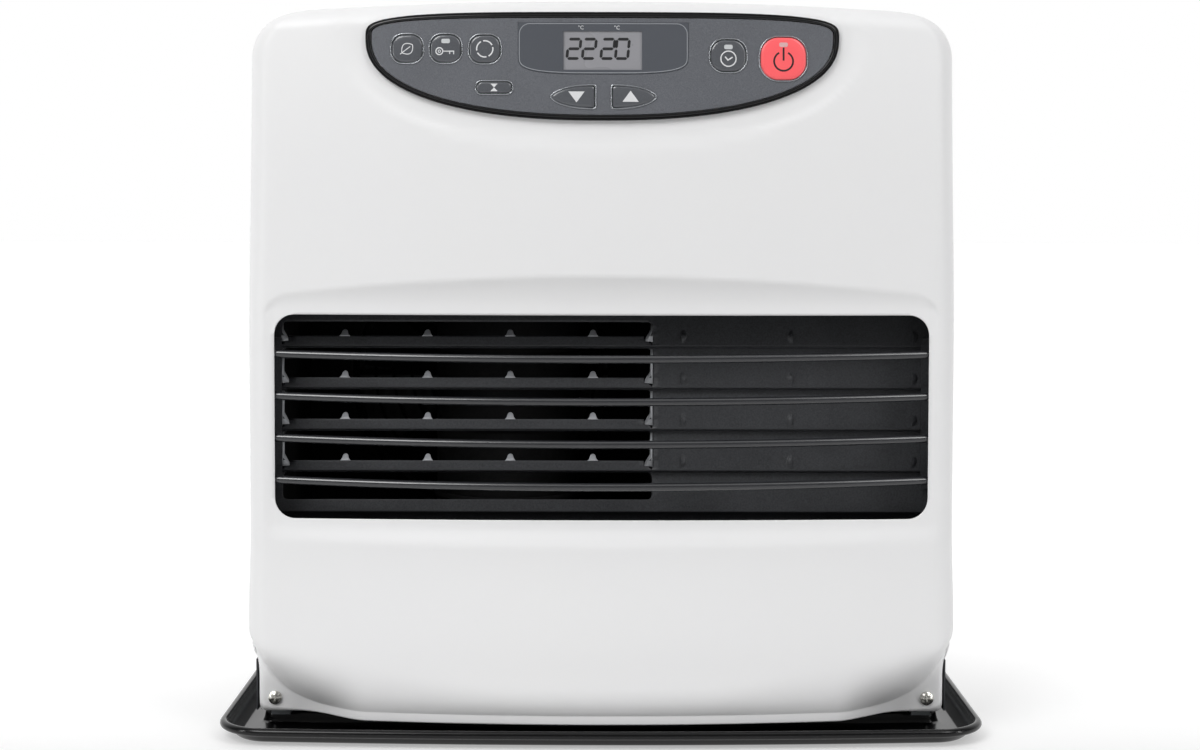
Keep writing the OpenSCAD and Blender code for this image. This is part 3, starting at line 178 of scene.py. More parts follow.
# Materials
def coatedSheet(name, s):
    # paint or plastic: large soft tone drift, fine surface grain as bump, roughness that varies with it
    material = bpy.data.materials.new(name)
    material.use_nodes = True
    tree = material.node_tree
    shader = tree.nodes["Principled BSDF"]
    shader.inputs["Metallic"].default_value = s.get("metallic", 0)
    shader.inputs["Roughness"].default_value = s["roughness"][0]
    shader.inputs["Coat Weight"].default_value = s.get("coat", 0)
    shader.inputs["Coat Roughness"].default_value = s.get("coatRoughness", 0.1)
    shader.inputs["Specular IOR Level"].default_value = s.get("specular", 0.5)
    if not s.get("metallic"):
        shader.inputs["IOR"].default_value = s.get("ior", 1.5)
    place = addNode(tree, "ShaderNodeTexCoord")
    stretch = addNode(tree, "ShaderNodeMapping", {"Scale": s.get("stretch", (1, 1, 1))}, {"Vector": (place, "Object")})
    grain = addNode(tree, "ShaderNodeTexNoise",
                    {"Scale": 1000 / s["grain"], "Detail": s.get("detail", 3.0), "Roughness": 0.6},
                    {"Vector": (stretch, "Vector")})
    drift = addNode(tree, "ShaderNodeTexNoise", {"Scale": 1000 / s.get("drift", 60), "Detail": 2.0},
                    {"Vector": (place, "Object")})
    tone = addNode(tree, "ShaderNodeMix",
                   {"data_type": "RGBA", 6: linearColor(s["colors"][0]), 7: linearColor(s["colors"][1])},
                   {0: (drift, "Fac")})
    fleck = addNode(tree, "ShaderNodeMapRange",
                    {"From Min": 0.35, "From Max": 0.65, "To Min": 0, "To Max": s.get("fleck", 0.3)},
                    {"Value": (grain, "Fac")})
    spotted = addNode(tree, "ShaderNodeMix", {"data_type": "RGBA", 7: linearColor(s["colors"][-1])},
                      {0: (fleck, "Result"), 6: (tone, 2)})
    tree.links.new(spotted.outputs[2], shader.inputs["Base Color"])
    rough = addNode(tree, "ShaderNodeMapRange",
                    {"From Min": 0.3, "From Max": 0.7, "To Min": s["roughness"][0], "To Max": s["roughness"][1]},
                    {"Value": (drift, "Fac")})
    tree.links.new(rough.outputs["Result"], shader.inputs["Roughness"])
    bump = addNode(tree, "ShaderNodeBump", {"Strength": s["bump"], "Distance": s["grain"] * mm * 0.25},
                   {"Height": (grain, "Fac")})
    tree.links.new(bump.outputs["Normal"], shader.inputs["Normal"])
    material.diffuse_color = linearColor(s["colors"][0])
    return material


# grain, drift: size in mm of the fine texture and of the slow change of tone
satinWhitePowderCoat = coatedSheet("satinWhitePowderCoat", dict(  # baked powder on pressed steel: very fine orange peel
    colors=("#e4e4e4", "#e2e2e3"), roughness=(0.42, 0.48), grain=0.9, bump=0.06, drift=90, fleck=0.1))
charcoalPowderCoat = coatedSheet("charcoalPowderCoat", dict(  # textured powder on the cabinet wrap
    colors=("#2b2c2f", "#303236"), roughness=(0.5, 0.6), grain=0.7, bump=0.25, drift=80))
heatResistantPaint = coatedSheet("heatResistantPaint", dict(  # silicone paint with metallic flake, slightly gritty
    colors=("#28292b", "#2e2f32", "#47494d"), roughness=(0.42, 0.55), grain=0.9, bump=0.22, drift=30, fleck=0.45,
    metallic=0.15))
semiGlossRodPaint = coatedSheet("semiGlossRodPaint", dict(  # smooth sprayed paint on drawn rod
    colors=("#232427", "#2a2b2e"), roughness=(0.18, 0.26), grain=0.8, bump=0.05, drift=25, coat=0.8, coatRoughness=0.15))
tabHighlightPaint = coatedSheet("tabHighlightPaint", dict(  # bent tabs and webs: pale grey that paints the highlight their bent edges catch
    colors=("#a0a2a5", "#a9abaf", "#b9bcc0"), roughness=(0.36, 0.46), grain=0.8, bump=0.15, drift=20, metallic=0.35))
glossTrayEnamel = coatedSheet("glossTrayEnamel", dict(  # black stove enamel: deep gloss, faint orange peel
    colors=("#070708", "#0a0a0b"), roughness=(0.16, 0.22), grain=1.6, bump=0.03, drift=70, specular=0.32))
nickelPlate = coatedSheet("nickelPlate", dict(  # bright plated screw heads
    colors=("#d8d7d2", "#c4c2bb"), roughness=(0.18, 0.3), grain=0.5, bump=0.06, drift=6, metallic=1))
galvanisedSheet = coatedSheet("galvanisedSheet", dict(  # zinc spangle
    colors=("#a3a8ab", "#8d9296", "#b7bcbf"), roughness=(0.3, 0.45), grain=6, bump=0.04, drift=14, metallic=1, detail=1.0))
absFascia = coatedSheet("absFascia", dict(  # moulded ABS sprayed metallic grey
    colors=("#535559", "#585a5f", "#7c7f86"), roughness=(0.34, 0.42), grain=0.6, bump=0.1, drift=30, fleck=0.4))
blackAbs = coatedSheet("blackAbs", dict(  # gloss black moulded ABS
    colors=("#0c0c0d", "#121214"), roughness=(0.14, 0.2), grain=1.2, bump=0.03, drift=40))
mattBlackNylon = coatedSheet("mattBlackNylon", dict(  # moulded nylon, eroded finish
    colors=("#1b1b1d", "#232326"), roughness=(0.45, 0.55), grain=0.6, bump=0.15, drift=20))
shieldFilm = coatedSheet("shieldFilm", dict(  # smoked clear film over the display, printed grey behind
    colors=("#4c4f55", "#53565c"), roughness=(0.22, 0.28), grain=0.8, bump=0.05, drift=60, coat=0.3))
lcdGlass = coatedSheet("lcdGlass", dict(  # reflective liquid crystal, neutral grey
    colors=("#8b8b8f", "#909094"), roughness=(0.25, 0.3), grain=0.5, bump=0.04, drift=60))
keyPlastic = coatedSheet("keyPlastic", dict(  # moulded keys, same spray as the fascia with more gloss
    colors=("#4b4d51", "#525458", "#696c72"), roughness=(0.16, 0.22), grain=0.5, bump=0.04, drift=10, fleck=0.3, coat=0.5))
coralKey = coatedSheet("coralKey", dict(  # through-coloured coral red key
    colors=("#ff6a6e", "#f95f64"), roughness=(0.28, 0.34), grain=0.5, bump=0.06, drift=10))
frostedLamp = coatedSheet("frostedLamp", dict(  # frosted light guide, unlit
    colors=("#c6c9ca", "#b9bcbe"), roughness=(0.35, 0.45), grain=0.4, bump=0.08, drift=4))
pinkLamp = coatedSheet("pinkLamp", dict(  # frosted light guide over the coral key
    colors=("#d9b0b0", "#cfa3a4"), roughness=(0.35, 0.45), grain=0.4, bump=0.08, drift=4))
solderMask = coatedSheet("solderMask", dict(  # green circuit board
    colors=("#1f5a38", "#256b43"), roughness=(0.3, 0.4), grain=0.8, bump=0.1, drift=8))
ivoryNylon = coatedSheet("ivoryNylon", dict(  # natural nylon
    colors=("#dcd8cb", "#cfcabb"), roughness=(0.4, 0.5), grain=0.6, bump=0.1, drift=12))
glazedCeramic = coatedSheet("glazedCeramic", dict(  # alumina insulator with a glazed sleeve
    colors=("#e2dccf", "#d3ccbc"), roughness=(0.2, 0.3), grain=0.6, bump=0.05, drift=8))
yellowPassivated = coatedSheet("yellowPassivated", dict(  # zinc plate with yellow passivation
    colors=("#c9b062", "#b89a4c", "#d6c27c"), roughness=(0.28, 0.4), grain=1.5, bump=0.05, drift=12, metallic=1))
drawnCopper = coatedSheet("drawnCopper", dict(  # copper fuel line, slightly dulled
    colors=("#b8744f", "#a5623f"), roughness=(0.25, 0.38), grain=0.8, bump=0.05, drift=10, metallic=1))
heatTintedSteel = coatedSheet("heatTintedSteel", dict(  # stainless that has run hot: straw to brown tint
    colors=("#8b7c6b", "#5f564f", "#a08a63"), roughness=(0.35, 0.5), grain=1.2, bump=0.12, drift=35, metallic=1))
castAlloy = coatedSheet("castAlloy", dict(  # die-cast aluminium
    colors=("#9a9c9e", "#8a8c8f"), roughness=(0.4, 0.5), grain=0.9, bump=0.2, drift=20, metallic=1))
ductBlackPaintedShade = coatedSheet("ductBlackPaintedShade", dict(  # near-black heat-resistant paint on duct, chamber and fan, made this dark to paint the shade inside the heater; faintly mottled
    colors=("#0d0d0e", "#121213", "#1f1f20"), roughness=(0.75, 0.9), grain=1.4, bump=0.2, drift=18, fleck=0.35,
    specular=0.2))
motorPaint = coatedSheet("motorPaint", dict(  # grey paint on motor cans and the fan guard
    colors=("#5d6165", "#666a6e"), roughness=(0.38, 0.48), grain=0.8, bump=0.12, drift=20))


def wovenSheet(name, s):
    # two families of threads as sine waves across X and Z; the gaps between them are lower and painted near black for
    # the shade seen through them
    material = coatedSheet(name, s)
    tree = material.node_tree
    place = addNode(tree, "ShaderNodeTexCoord")
    waves = [addNode(tree, "ShaderNodeTexWave",
                     {"wave_type": "BANDS", "bands_direction": axis, "Scale": 1000 / s["thread"] / 20, "Distortion": 0.0},
                     {"Vector": (place, "Object")}) for axis in ("X", "Z")]
    net = addNode(tree, "ShaderNodeMath", {"operation": "MAXIMUM"}, {0: (waves[0], "Fac"), 1: (waves[1], "Fac")})
    shader = tree.nodes["Principled BSDF"]
    tone = addNode(tree, "ShaderNodeMix", {"data_type": "RGBA", 6: linearColor(s["gap"]), 7: linearColor(s["colors"][0])},
                   {0: (net, 0)})
    tree.links.new(tone.outputs[2], shader.inputs["Base Color"])
    bump = addNode(tree, "ShaderNodeBump", {"Strength": 0.6, "Distance": 0.0002}, {"Height": (net, 0)})
    tree.links.new(bump.outputs["Normal"], shader.inputs["Normal"])
    return material


wovenNet = wovenSheet("wovenNet", dict(  # fine black nylon net of the dust filter; its near-black gap colour paints the shade seen through the holes
    colors=("#232325", "#1c1c1e"), roughness=(0.5, 0.6), grain=0.6, bump=0.1, drift=20, thread=1.2, gap="#060606"))

slotMaterial = {
    "gloss_black_paint": glossTrayEnamel, "white_paint": satinWhitePowderCoat, "charcoal_paint": charcoalPowderCoat,
    "heat_paint": heatResistantPaint, "rod_paint": semiGlossRodPaint, "screw_steel": nickelPlate,
    "galvanised_steel": galvanisedSheet, "bezel_black": blackAbs, "fascia_grey": absFascia, "shield_grey": shieldFilm,
    "lcd_glass": lcdGlass, "key_grey": keyPlastic, "power_coral": coralKey, "lamp_clear": frostedLamp,
    "lamp_pink": pinkLamp, "board_green": solderMask, "black_plastic": mattBlackNylon, "ivory_plastic": ivoryNylon,
    "ivory_ceramic": glazedCeramic, "brass_plate": yellowPassivated, "copper_tube": drawnCopper,
    "heat_steel": heatTintedSteel, "cast_alloy": castAlloy, "motor_steel": motorPaint, "duct_black": ductBlackPaintedShade,
    "net_black": wovenNet}
for part in frame["record"]["subparts"]:
    cadNode = nodes[part["node"]]
    cadNode.data.materials.clear()
    cadNode.data.materials.append(slotMaterial[part["material_slot"]])
print("stage: materials")

# Front cover
cover = dict(halfWidth=209.3, cornerRadius=27, baseZ=12.2, backY=-60, sideY=-138, top=430.3, flatY=-118, skirtHalfWidth=206,
             bow=11, edgeRadius=14, crown=5, lean=5, dish=5, openHalf=192.5, openZ=131.7, openTop=252.1, openRadius=12,
             bellyLow=5.3, bellyFrom=160, bellyClimb=33.5, bellyHigh=(18, 33), footRadius=5, footFlare=1.2, rollDraw=18,
             dishCorner=16, ringWide=16, ringDepth=1.3, ringSlope=0.06, topEdge=12, sheet=1.0, panelZ=413,
             panelUp=14.9, panelDown=47.9, panelHalf=137.5)


def panelReach(x, z, inset):
    # size of a point's own superellipse against the control panel's outline: 1 on the line, less inside
    down = z < cover["panelZ"]
    power = np.where(down, 2.3, 4)
    height = np.where(down, cover["panelDown"], cover["panelUp"]) - inset
    return ((np.abs(x) / (cover["panelHalf"] - inset)) ** power
            + (np.abs(z - cover["panelZ"]) / height) ** power) ** (1 / power)


def bellyEdge(x):
    # height of the line where the belly meets the skirt, climbing towards the corners
    c = cover
    return c["baseZ"] + c["bellyLow"] + c["bellyClimb"] * clamp01((np.abs(x) - c["bellyFrom"]) / 49) ** 2.5


def bellyHeight(x):
    # the roll under the belly is taller towards the corners and low again at the very sides
    return mix(*cover["bellyHigh"], ease(50, 170, np.abs(x))) * (1 - 0.55 * ease(180, 209, np.abs(x)))


def skirtY(x):
    return mix(cover["sideY"] - 12.5 + 13 * (x / 165) ** 2, cover["flatY"], ease(138, 183, np.abs(x)))


def faceY(x, z):
    # bow across, lean-back at the top, belly low down, dish round the louvre
    c = cover
    across = 1 - (x / 200) ** 2
    bow = c["sideY"] - c["bow"] * (1 - (x / 195) ** 2)
    lean = c["lean"] * clamp01((z - 340) / 95) ** 2
    belly = -8 * (1 - (x / 230) ** 2) * ease(118, 50, z)
    # the dish starts with a crease along its top, which turns down in an arc at each end
    turnDown = c["dishCorner"] * (1 - np.sqrt(1 - clamp01((np.abs(x) - 200) / c["dishCorner"] + 1) ** 2))
    dishTop = c["openTop"] + 10.4 + 12.5 * across - turnDown
    dishFoot = c["openZ"] - 14 - 3 * across
    fall = clamp01((dishTop - z) / np.maximum(dishTop - c["openTop"] - 3, 4))
    dish = (1.2 + (c["dish"] - 1.2) * across) * ease(200, 194, np.abs(x)) * np.minimum(
        fall * (2 - fall), ease(dishFoot, c["openZ"] - 3, z))
    return bow + lean + belly + dish


def coverSurface():
    # rows run from the skirt's foot over belly, face and top corner to the back of the flange, columns from side to side
    c = cover
    arc = c["openRadius"] * (1 - np.cos(np.radians(np.arange(0, 91, 7.5))))
    faceZ = np.concatenate([
        np.linspace(101, 113, 5), np.arange(114.5, c["openZ"] - 0.5, 1.5), c["openZ"] + arc,
        np.linspace(c["openZ"] + 17, c["openTop"] - 17, 14), (c["openTop"] - arc)[::-1],
        np.arange(c["openTop"] + 1.5, c["openTop"] + 30, 1.8), np.linspace(c["openTop"] + 33, 358, 18),
        np.arange(360, 403, 1.5)])
    rows = np.concatenate([
        np.stack([np.full(9, 0), np.linspace(0, 1, 9)], 1), np.stack([np.full(14, 1), np.arange(84, 5, -6)], 1),
        np.stack([np.full(14, 5), np.linspace(0, 0.97, 14)], 1), np.stack([np.full(len(faceZ), 2), faceZ], 1),
        np.stack([np.full(31, 3), np.arange(0, 91, 3)], 1), np.stack([np.full(10, 4), np.linspace(0.1, 1, 10)], 1)])
    faceHalf = c["halfWidth"] - c["edgeRadius"]
    faceX = np.concatenate([c["openHalf"] - arc, np.linspace(177, 144, 9), np.linspace(141, 0, 48)[:-1]]) / faceHalf
    half = np.concatenate([
        np.stack([np.full(12, 0), np.linspace(0, 0.95, 12)], 1), np.stack([np.full(14, 1), np.linspace(0, 90, 14)], 1),
        np.stack([np.full(len(faceX), 2), faceX], 1)])
    left = np.column_stack([half, np.full(len(half), -1)])
    right = np.column_stack([half[::-1], np.full(len(half), 1)])
    cols = np.concatenate([left, [[2, 0, 1]], right])
    kind, v = rows[:, 0][:, None], rows[:, 1][:, None]
    colKind, share, side = cols[:, 0][None], cols[:, 1][None], cols[:, 2][None]
    angle = np.radians(np.where(kind == 3, v, np.where(kind == 4, 90, 0)))
    cornerZ = c["top"] - c["cornerRadius"]
    nominal = np.where((kind < 2) | (kind == 5), 60, np.where(kind == 2, v, cornerZ + c["cornerRadius"] * np.sin(angle)))
    edgeZ = bellyEdge(np.array(c["halfWidth"]))
    sideRise = bellyHeight(np.array(c["halfWidth"]))
    bellyTurn = np.radians(np.where(kind == 1, v, 0))
    sideZ = np.where(kind == 0, mix(c["baseZ"], edgeZ, v),
                     np.where(kind == 1, edgeZ + sideRise * (1 - np.sin(bellyTurn)), nominal))
    sideZ = np.where(kind == 5, mix(edgeZ + sideRise, 100, v), sideZ)
    aboveSkirt = ease(38, 52, sideZ)
    flared = c["halfWidth"] + c["footFlare"] * ease(125, 70, sideZ)
    hw = mix(c["skirtHalfWidth"], flared, aboveSkirt) - c["cornerRadius"] * (1 - np.cos(angle))
    # the upright edges are rolled in an arc that draws out to an oval towards the top
    r = mix(4, c["edgeRadius"], aboveSkirt)
    rollDepth = r + c["rollDraw"] * ease(230, 400, nominal)
    turn = np.radians(np.where(colKind == 1, share, 0))
    x = side * np.where(colKind == 0, hw, np.where(colKind == 1, hw - r * (1 - np.cos(turn)), share * (hw - r)))
    zb = bellyEdge(x)
    q = clamp01((nominal - c["top"] + c["topEdge"]) / c["topEdge"])
    b = np.where(kind > 2, np.arcsin(q), 0) * (kind < 5)
    up = c["crown"] * clamp01(1 - (x / 182) ** 2) * ease(290, c["top"], nominal) * ((kind > 1) & (kind < 5))
    rise = bellyHeight(x) * (1 - np.sin(bellyTurn))
    # the skirt's lower corners are rounded by a quarter circle
    footLift = c["footRadius"] * (1 - np.sqrt(1 - clamp01((np.abs(x) - c["skirtHalfWidth"]) / c["footRadius"] + 1) ** 2))
    z = np.select([kind == 0, kind == 1, kind == 2, kind == 5],
                  [mix(c["baseZ"] + footLift, zb, v), zb + rise, v + up, mix(zb + bellyHeight(x), 100, v)],
                  c["top"] - c["cornerRadius"] + c["cornerRadius"] * np.sin(angle) + up)
    bellyFace = faceY(x, z)
    front = np.select([kind == 0, kind == 1, kind == 5],
                      [skirtY(x) + 0 * z, bellyFace + (skirtY(x) - bellyFace) * np.sin(bellyTurn) ** 2, bellyFace],
                      faceY(x, nominal) + c["topEdge"] * (1 - np.cos(b)))
    # ring of the panel's shape pressed in round the panel
    ring = clamp01((1 - panelReach(x, z - up * 0.6, -c["ringWide"])) / c["ringSlope"])
    recess = c["ringDepth"] * ring * (2 - ring) * ((kind == 2) | (kind == 3)) * ease(1, 0.6, q)
    front = front + recess
    cornerY = front + rollDepth
    sideBack = mix(c["flatY"] + 8, c["backY"], ease(49, 68, sideZ))
    y = np.where(colKind == 0, mix(sideBack, cornerY, share),
                 np.where(colKind == 1, cornerY - rollDepth * np.sin(turn), front))
    spread = 2 * np.arange(len(cols))[None] / (len(cols) - 1) - 1
    back = kind == 4
    xAll = np.where(back, mix(x, 0.9 * hw * spread, v), x)
    yAll = np.where(back, mix(y, c["backY"], v), y)
    zAll = np.where(back, z - up * v * v, z)
    planZ = np.select([kind == 0, kind == 1, kind == 5, kind == 2, kind == 3], [v - 100, -50, -40, v, nominal], 1000)
    planX = np.where(colKind == 2, side * share * faceHalf, side * 300)
    shape = (len(rows), len(cols))
    full = [np.broadcast_to(a, shape) for a in (xAll, yAll, zAll, planX, planZ)]
    return np.stack(full[:3], -1), full[3], full[4]


def openTriangles(planX, planZ):
    # two triangles a cell, split along the way that follows a rounded corner; a triangle inside an opening is left out
    c = cover
    rows, cols = planX.shape
    index = np.arange(rows * cols).reshape(rows, cols)
    a, b, d, e = index[:-1, :-1], index[:-1, 1:], index[1:, :-1], index[1:, 1:]
    midZ = (c["openZ"] + c["openTop"]) / 2
    flat = planX.ravel(), planZ.ravel()
    across = (flat[0][a] + flat[0][e]) * (flat[1][a] + flat[1][e] - 2 * midZ) < 0
    first = np.where(across[..., None], np.stack([a, b, e], -1), np.stack([a, b, d], -1))
    second = np.where(across[..., None], np.stack([a, e, d], -1), np.stack([b, e, d], -1))
    tris = np.concatenate([first.reshape(-1, 3), second.reshape(-1, 3)])
    cx, cz = flat[0][tris].mean(1), flat[1][tris].mean(1)
    r = c["openRadius"]
    dx = np.abs(cx) - c["openHalf"] + r
    dz = np.abs(cz - midZ) - (c["openTop"] - c["openZ"]) / 2 + r
    louvre = (dx < r) & (dz < r) & ((dx < 0) | (dz < 0) | (np.hypot(dx, dz) < r - 0.02))
    panel = panelReach(cx, cz + 3 * clamp01(1 - (cx / 182) ** 2), 6.5) < 1
    return tris[~(louvre | panel)]


coverPoints, planX, planZ = coverSurface()
frontCover = buildMesh("frontCover", coverPoints, openTriangles(planX, planZ), satinWhitePowderCoat, "heater", "white_paint",
                       ["front_cover"])
thicken(frontCover, cover["sheet"] * mm)
print("stage: front cover", len(frontCover.data.polygons))

# Guard rods
rods = dict(endX=197, endY=-132, bow=20, droop=1.7, radius=2.4, heights=(154.15, 179.0, 203.85, 228.7), steps=97, sides=28)


def rodTubes(s):
    # circle of the rod's radius carried along an arc of given bow, tipped so that its middle droops; ends closed to a point
    bend = (s["endX"] ** 2 + s["bow"] ** 2) / (2 * s["bow"])
    reach = s["endX"] - s["radius"] * s["endX"] / bend
    sweep = math.asin(reach / bend)
    t = np.concatenate([[-sweep], np.linspace(-sweep, sweep, s["steps"]), [sweep]])
    size = np.concatenate([[0.0001], np.full(s["steps"], s["radius"]), [0.0001]])
    a = np.linspace(0, 2 * np.pi, s["sides"], endpoint=False)
    radial = bend + size[:, None] * np.cos(a)[None]
    x = radial * np.sin(t)[:, None]
    y = (bend - s["bow"]) - radial * np.cos(t)[:, None]
    z = size[:, None] * np.sin(a)[None]
    tip = math.asin(s["droop"] / s["bow"])
    tube = np.stack([x, y * math.cos(tip) - z * math.sin(tip), y * math.sin(tip) + z * math.cos(tip)], -1)
    count = tube.shape[0] * tube.shape[1]
    points = np.concatenate([tube.reshape(-1, 3) + [0, s["endY"], h] for h in s["heights"]])
    faces = np.concatenate([gridFaces(*tube.shape[:2], loopCols=True, first=i * count, flip=True)
                            for i in range(len(s["heights"]))])
    return points, faces


buildMesh("guardRods", *rodTubes(rods), semiGlossRodPaint, "heater", "rod_paint", ["guard_rods"], sharp=50)
print("stage: guard rods")

# Drip tray
tray = dict(halfX=227.5, halfY=162, bead=2.5, rimZ=8.3, frontGap=28, side=22.5, platform=9.5, bow=8, corner=30)


def softened(points, times):
    # corner cutting: each closed-line corner is replaced by two points a quarter in from it
    for _ in range(times):
        nextPoints = np.roll(points, -1, 0)
        points = np.stack([points * 0.75 + nextPoints * 0.25,
                           points * 0.25 + nextPoints * 0.75], 1).reshape(-1, points.shape[1])
    return points


def trayRings(s):
    # section (inset from the rim, height, share of the front gap) carried round a rounded rectangle with a bowed front
    half = s["bead"]
    turn = np.radians(np.arange(-130, 131, 20))
    bead = np.stack([half - half * np.cos(turn), s["rimZ"] + half * np.sin(turn), 0 * turn], 1)
    section = np.concatenate([
        [[s["side"] - 0.6, 0, 1], [12.5, 0, 0], [10.2, 0.6, 0], [5.6, s["rimZ"] - half - 0.8, 0]], bead,
        [[6.6, 5.2, 0], [11.5, 1.4, 0], [13, 1, 0], [s["side"] - 2.2, 1, 1], [s["side"] - 1.2, 1.6, 1],
         [s["side"], s["platform"] - 1.3, 1], [s["side"] + 1.5, s["platform"], 1], [s["side"] + 6, s["platform"], 1],
         [s["side"] + 6, s["platform"] - 1, 1], [s["side"] + 3.5, s["platform"] - 1, 1],
         [s["side"] + 1.4, s["platform"] - 2, 1]]])
    section = softened(section, 2)
    inset, height, front = section[:, 0][:, None], section[:, 1][:, None], section[:, 2][:, None]
    hx, yb, yf = s["halfX"] - inset, s["halfY"] - inset, -s["halfY"] + inset + front * s["frontGap"]
    r = np.maximum(8, s["corner"] - inset)
    a = np.radians(np.arange(0, 91, 6))
    run = np.linspace(0, 1, 26)[1:-1]
    x = np.concatenate([hx - r + r * np.cos(a), mix(hx - r, -hx + r, run), -hx + r - r * np.sin(a),
                        -hx + r - r * np.cos(a), mix(-hx + r, hx - r, run), hx - r + r * np.sin(a), hx + 0 * run[:8]], 1)
    y = np.concatenate([yb - r + r * np.sin(a), yb + 0 * run, yb - r + r * np.cos(a), yf + r - r * np.sin(a), yf + 0 * run,
                        yf + r - r * np.cos(a), mix(yf + r, yb - r, np.linspace(0, 1, 10)[1:-1])], 1)
    y = y + np.where(y < 0, s["bow"] * (x / hx) ** 2 * y / yf, 0)
    return np.stack([x, y, np.broadcast_to(height, x.shape)], -1)


rings = trayRings(tray)
trayFaces = gridFaces(*rings.shape[:2], loopCols=True, loopRows=True).tolist()
colCount = rings.shape[1]
topRow = int(np.argmax(np.where(rings[:, 0, 2] > tray["platform"] - 0.01, rings[:, :, 0].max(1) * -1, -1e9)))
buildMesh("baseTray", rings, trayFaces, glossTrayEnamel, "heater", "gloss_black_paint", ["base_tray"])
innerX = rings[topRow, :, 0]
innerY = rings[topRow, :, 1]
plate = np.stack([innerX, innerY, np.full(colCount, tray["platform"] - 0.02)], 1)
under = plate - [0, 0, 0.9]
plateFaces = [list(range(colCount)), list(range(2 * colCount - 1, colCount - 1, -1))] + [
    [i, i + colCount, (i + 1) % colCount + colCount, (i + 1) % colCount] for i in range(colCount)]
buildMesh("trayPlatform", np.concatenate([plate, under]), plateFaces, glossTrayEnamel, "heater", "gloss_black_paint",
          sharp=40)
print("stage: drip tray")

# Louvre plate
louvre = dict(plateY=-105, foot=24, head=292, firstEdge=131.0, pitch=25.1, step=5, slat=6.3, half=206.7,
              outletX=(-192.5, 30.5), outletZ=(138.7, 246.1), lances=((48, 1), (115, -1), (187, 1)),
              tabs=(-154.5, -104.8, -55, -5.2), fold=0.5)


def clapboardY(z):
    # each board leans forward to its lower edge, then a short ledge runs back to the plate
    s = louvre
    share = (z - s["firstEdge"]) / s["pitch"]
    local = (share - np.floor(share)) * s["pitch"]
    board = s["step"] * (1 - local / (s["pitch"] - 1))
    ledge = s["step"] * (local - s["pitch"] + 1)
    out = np.where(local < s["pitch"] - 1, board, ledge)
    out = np.where(z < s["firstEdge"] - 1, 0, np.where(z > s["firstEdge"] + 5 * s["pitch"] + 5.4, 0, out))
    return s["plateY"] - out


def foldedY(z):
    # folds rounded by averaging over a few tenths of a millimetre
    reach = np.linspace(-1, 1, 7) * louvre["fold"]
    return np.mean([clapboardY(z + d) for d in reach], 0)


def louvreSheet():
    s = louvre
    local = np.array([0, 0.25, 0.6, 1.1, 2, 3.2, 4.4, 5.4, 6.3, 7.2, 8.2, 9.2, 10.4, 13, 16, 19, 21.5, 23.1, 23.6, 24.0,
                      24.35, 24.6, 24.85])
    arc = 3 * (1 - np.cos(np.radians(np.arange(0, 91, 22.5))))
    z = np.concatenate([[s["foot"], 60, 100, 120, 128],
                        np.concatenate([s["firstEdge"] + i * s["pitch"] + local for i in range(5)]),
                        s["outletZ"][0] + arc, s["outletZ"][1] - arc,
                        s["firstEdge"] + 5 * s["pitch"] + np.array([0, 0.5, 1, 2, 4, 6]), [270, s["head"]]])
    x = np.concatenate([np.linspace(-s["half"], s["half"], 90), s["outletX"][0] + arc, s["outletX"][1] - arc]
                       + [at + np.linspace(-3.6, 3.6, 19) for at, side in s["lances"]]
                       + [np.array([at - 0.02, at + 0.02]) for at, side in s["lances"]])
    z, x = np.unique(np.round(z, 2)), np.unique(np.round(x, 2))
    gx, gz = np.meshgrid(x, z)
    y = foldedY(gz)
    for at, side in s["lances"]:
        for i in range(1, 5):
            dx, dz = (gx - at) * side, gz - (s["firstEdge"] + i * s["pitch"] + 6)
            bulge = clamp01(1 - (dx * dx + dz * dz) / 9.6)
            y = y - 1.5 * np.sqrt(bulge) * (dx > 0)
    index = np.arange(gx.size).reshape(gx.shape)
    a, b, d, e = index[:-1, :-1], index[:-1, 1:], index[1:, :-1], index[1:, 1:]
    midX = sum(s["outletX"]) / 2
    cellX, cellZ = (gx[:-1, :-1] + gx[1:, 1:]) / 2, (gz[:-1, :-1] + gz[1:, 1:]) / 2
    level = np.clip(np.floor((cellZ - s["firstEdge"]) / s["pitch"]), 0, 4)
    low = np.where(level == 0, s["outletZ"][0], s["firstEdge"] + level * s["pitch"] + s["slat"])
    high = np.where(level == 4, s["outletZ"][1], s["firstEdge"] + (level + 1) * s["pitch"] - 1.5)
    across = (cellX - midX) * (cellZ - (low + high) / 2) < 0
    first = np.where(across[..., None], np.stack([a, b, e], -1), np.stack([a, b, d], -1)).reshape(-1, 3)
    second = np.where(across[..., None], np.stack([a, e, d], -1), np.stack([b, e, d], -1)).reshape(-1, 3)
    tris, lows, highs = np.concatenate([first, second]), np.tile(low.ravel(), 2), np.tile(high.ravel(), 2)
    cx, cz = gx.ravel()[tris].mean(1), gz.ravel()[tris].mean(1)
    dx = np.abs(cx - midX) - (s["outletX"][1] - s["outletX"][0]) / 2 + 3
    dz = np.abs(cz - (lows + highs) / 2) - (highs - lows) / 2 + 3
    gap = (dx < 3) & (dz < 3) & ((dx < 0) | (dz < 0) | (np.hypot(dx, dz) < 2.98))
    # the slats' upper corners are cut off at 45 degrees
    cut = (dx > -4.2) & (dx < 3) & (cz < lows) & (cz > lows - (dx + 4.2) * 0.75) & (lows > s["outletZ"][0] + 1)
    gap = gap | cut
    return np.stack([gx, y, gz], -1), tris[~gap]


louvrePlate = buildMesh("louvrePlate", *louvreSheet(), heatResistantPaint, "heater", "heat_paint",
                        ["louvre_plate", "outlet_slats"], sharp=55)
thicken(louvrePlate, 0.001)


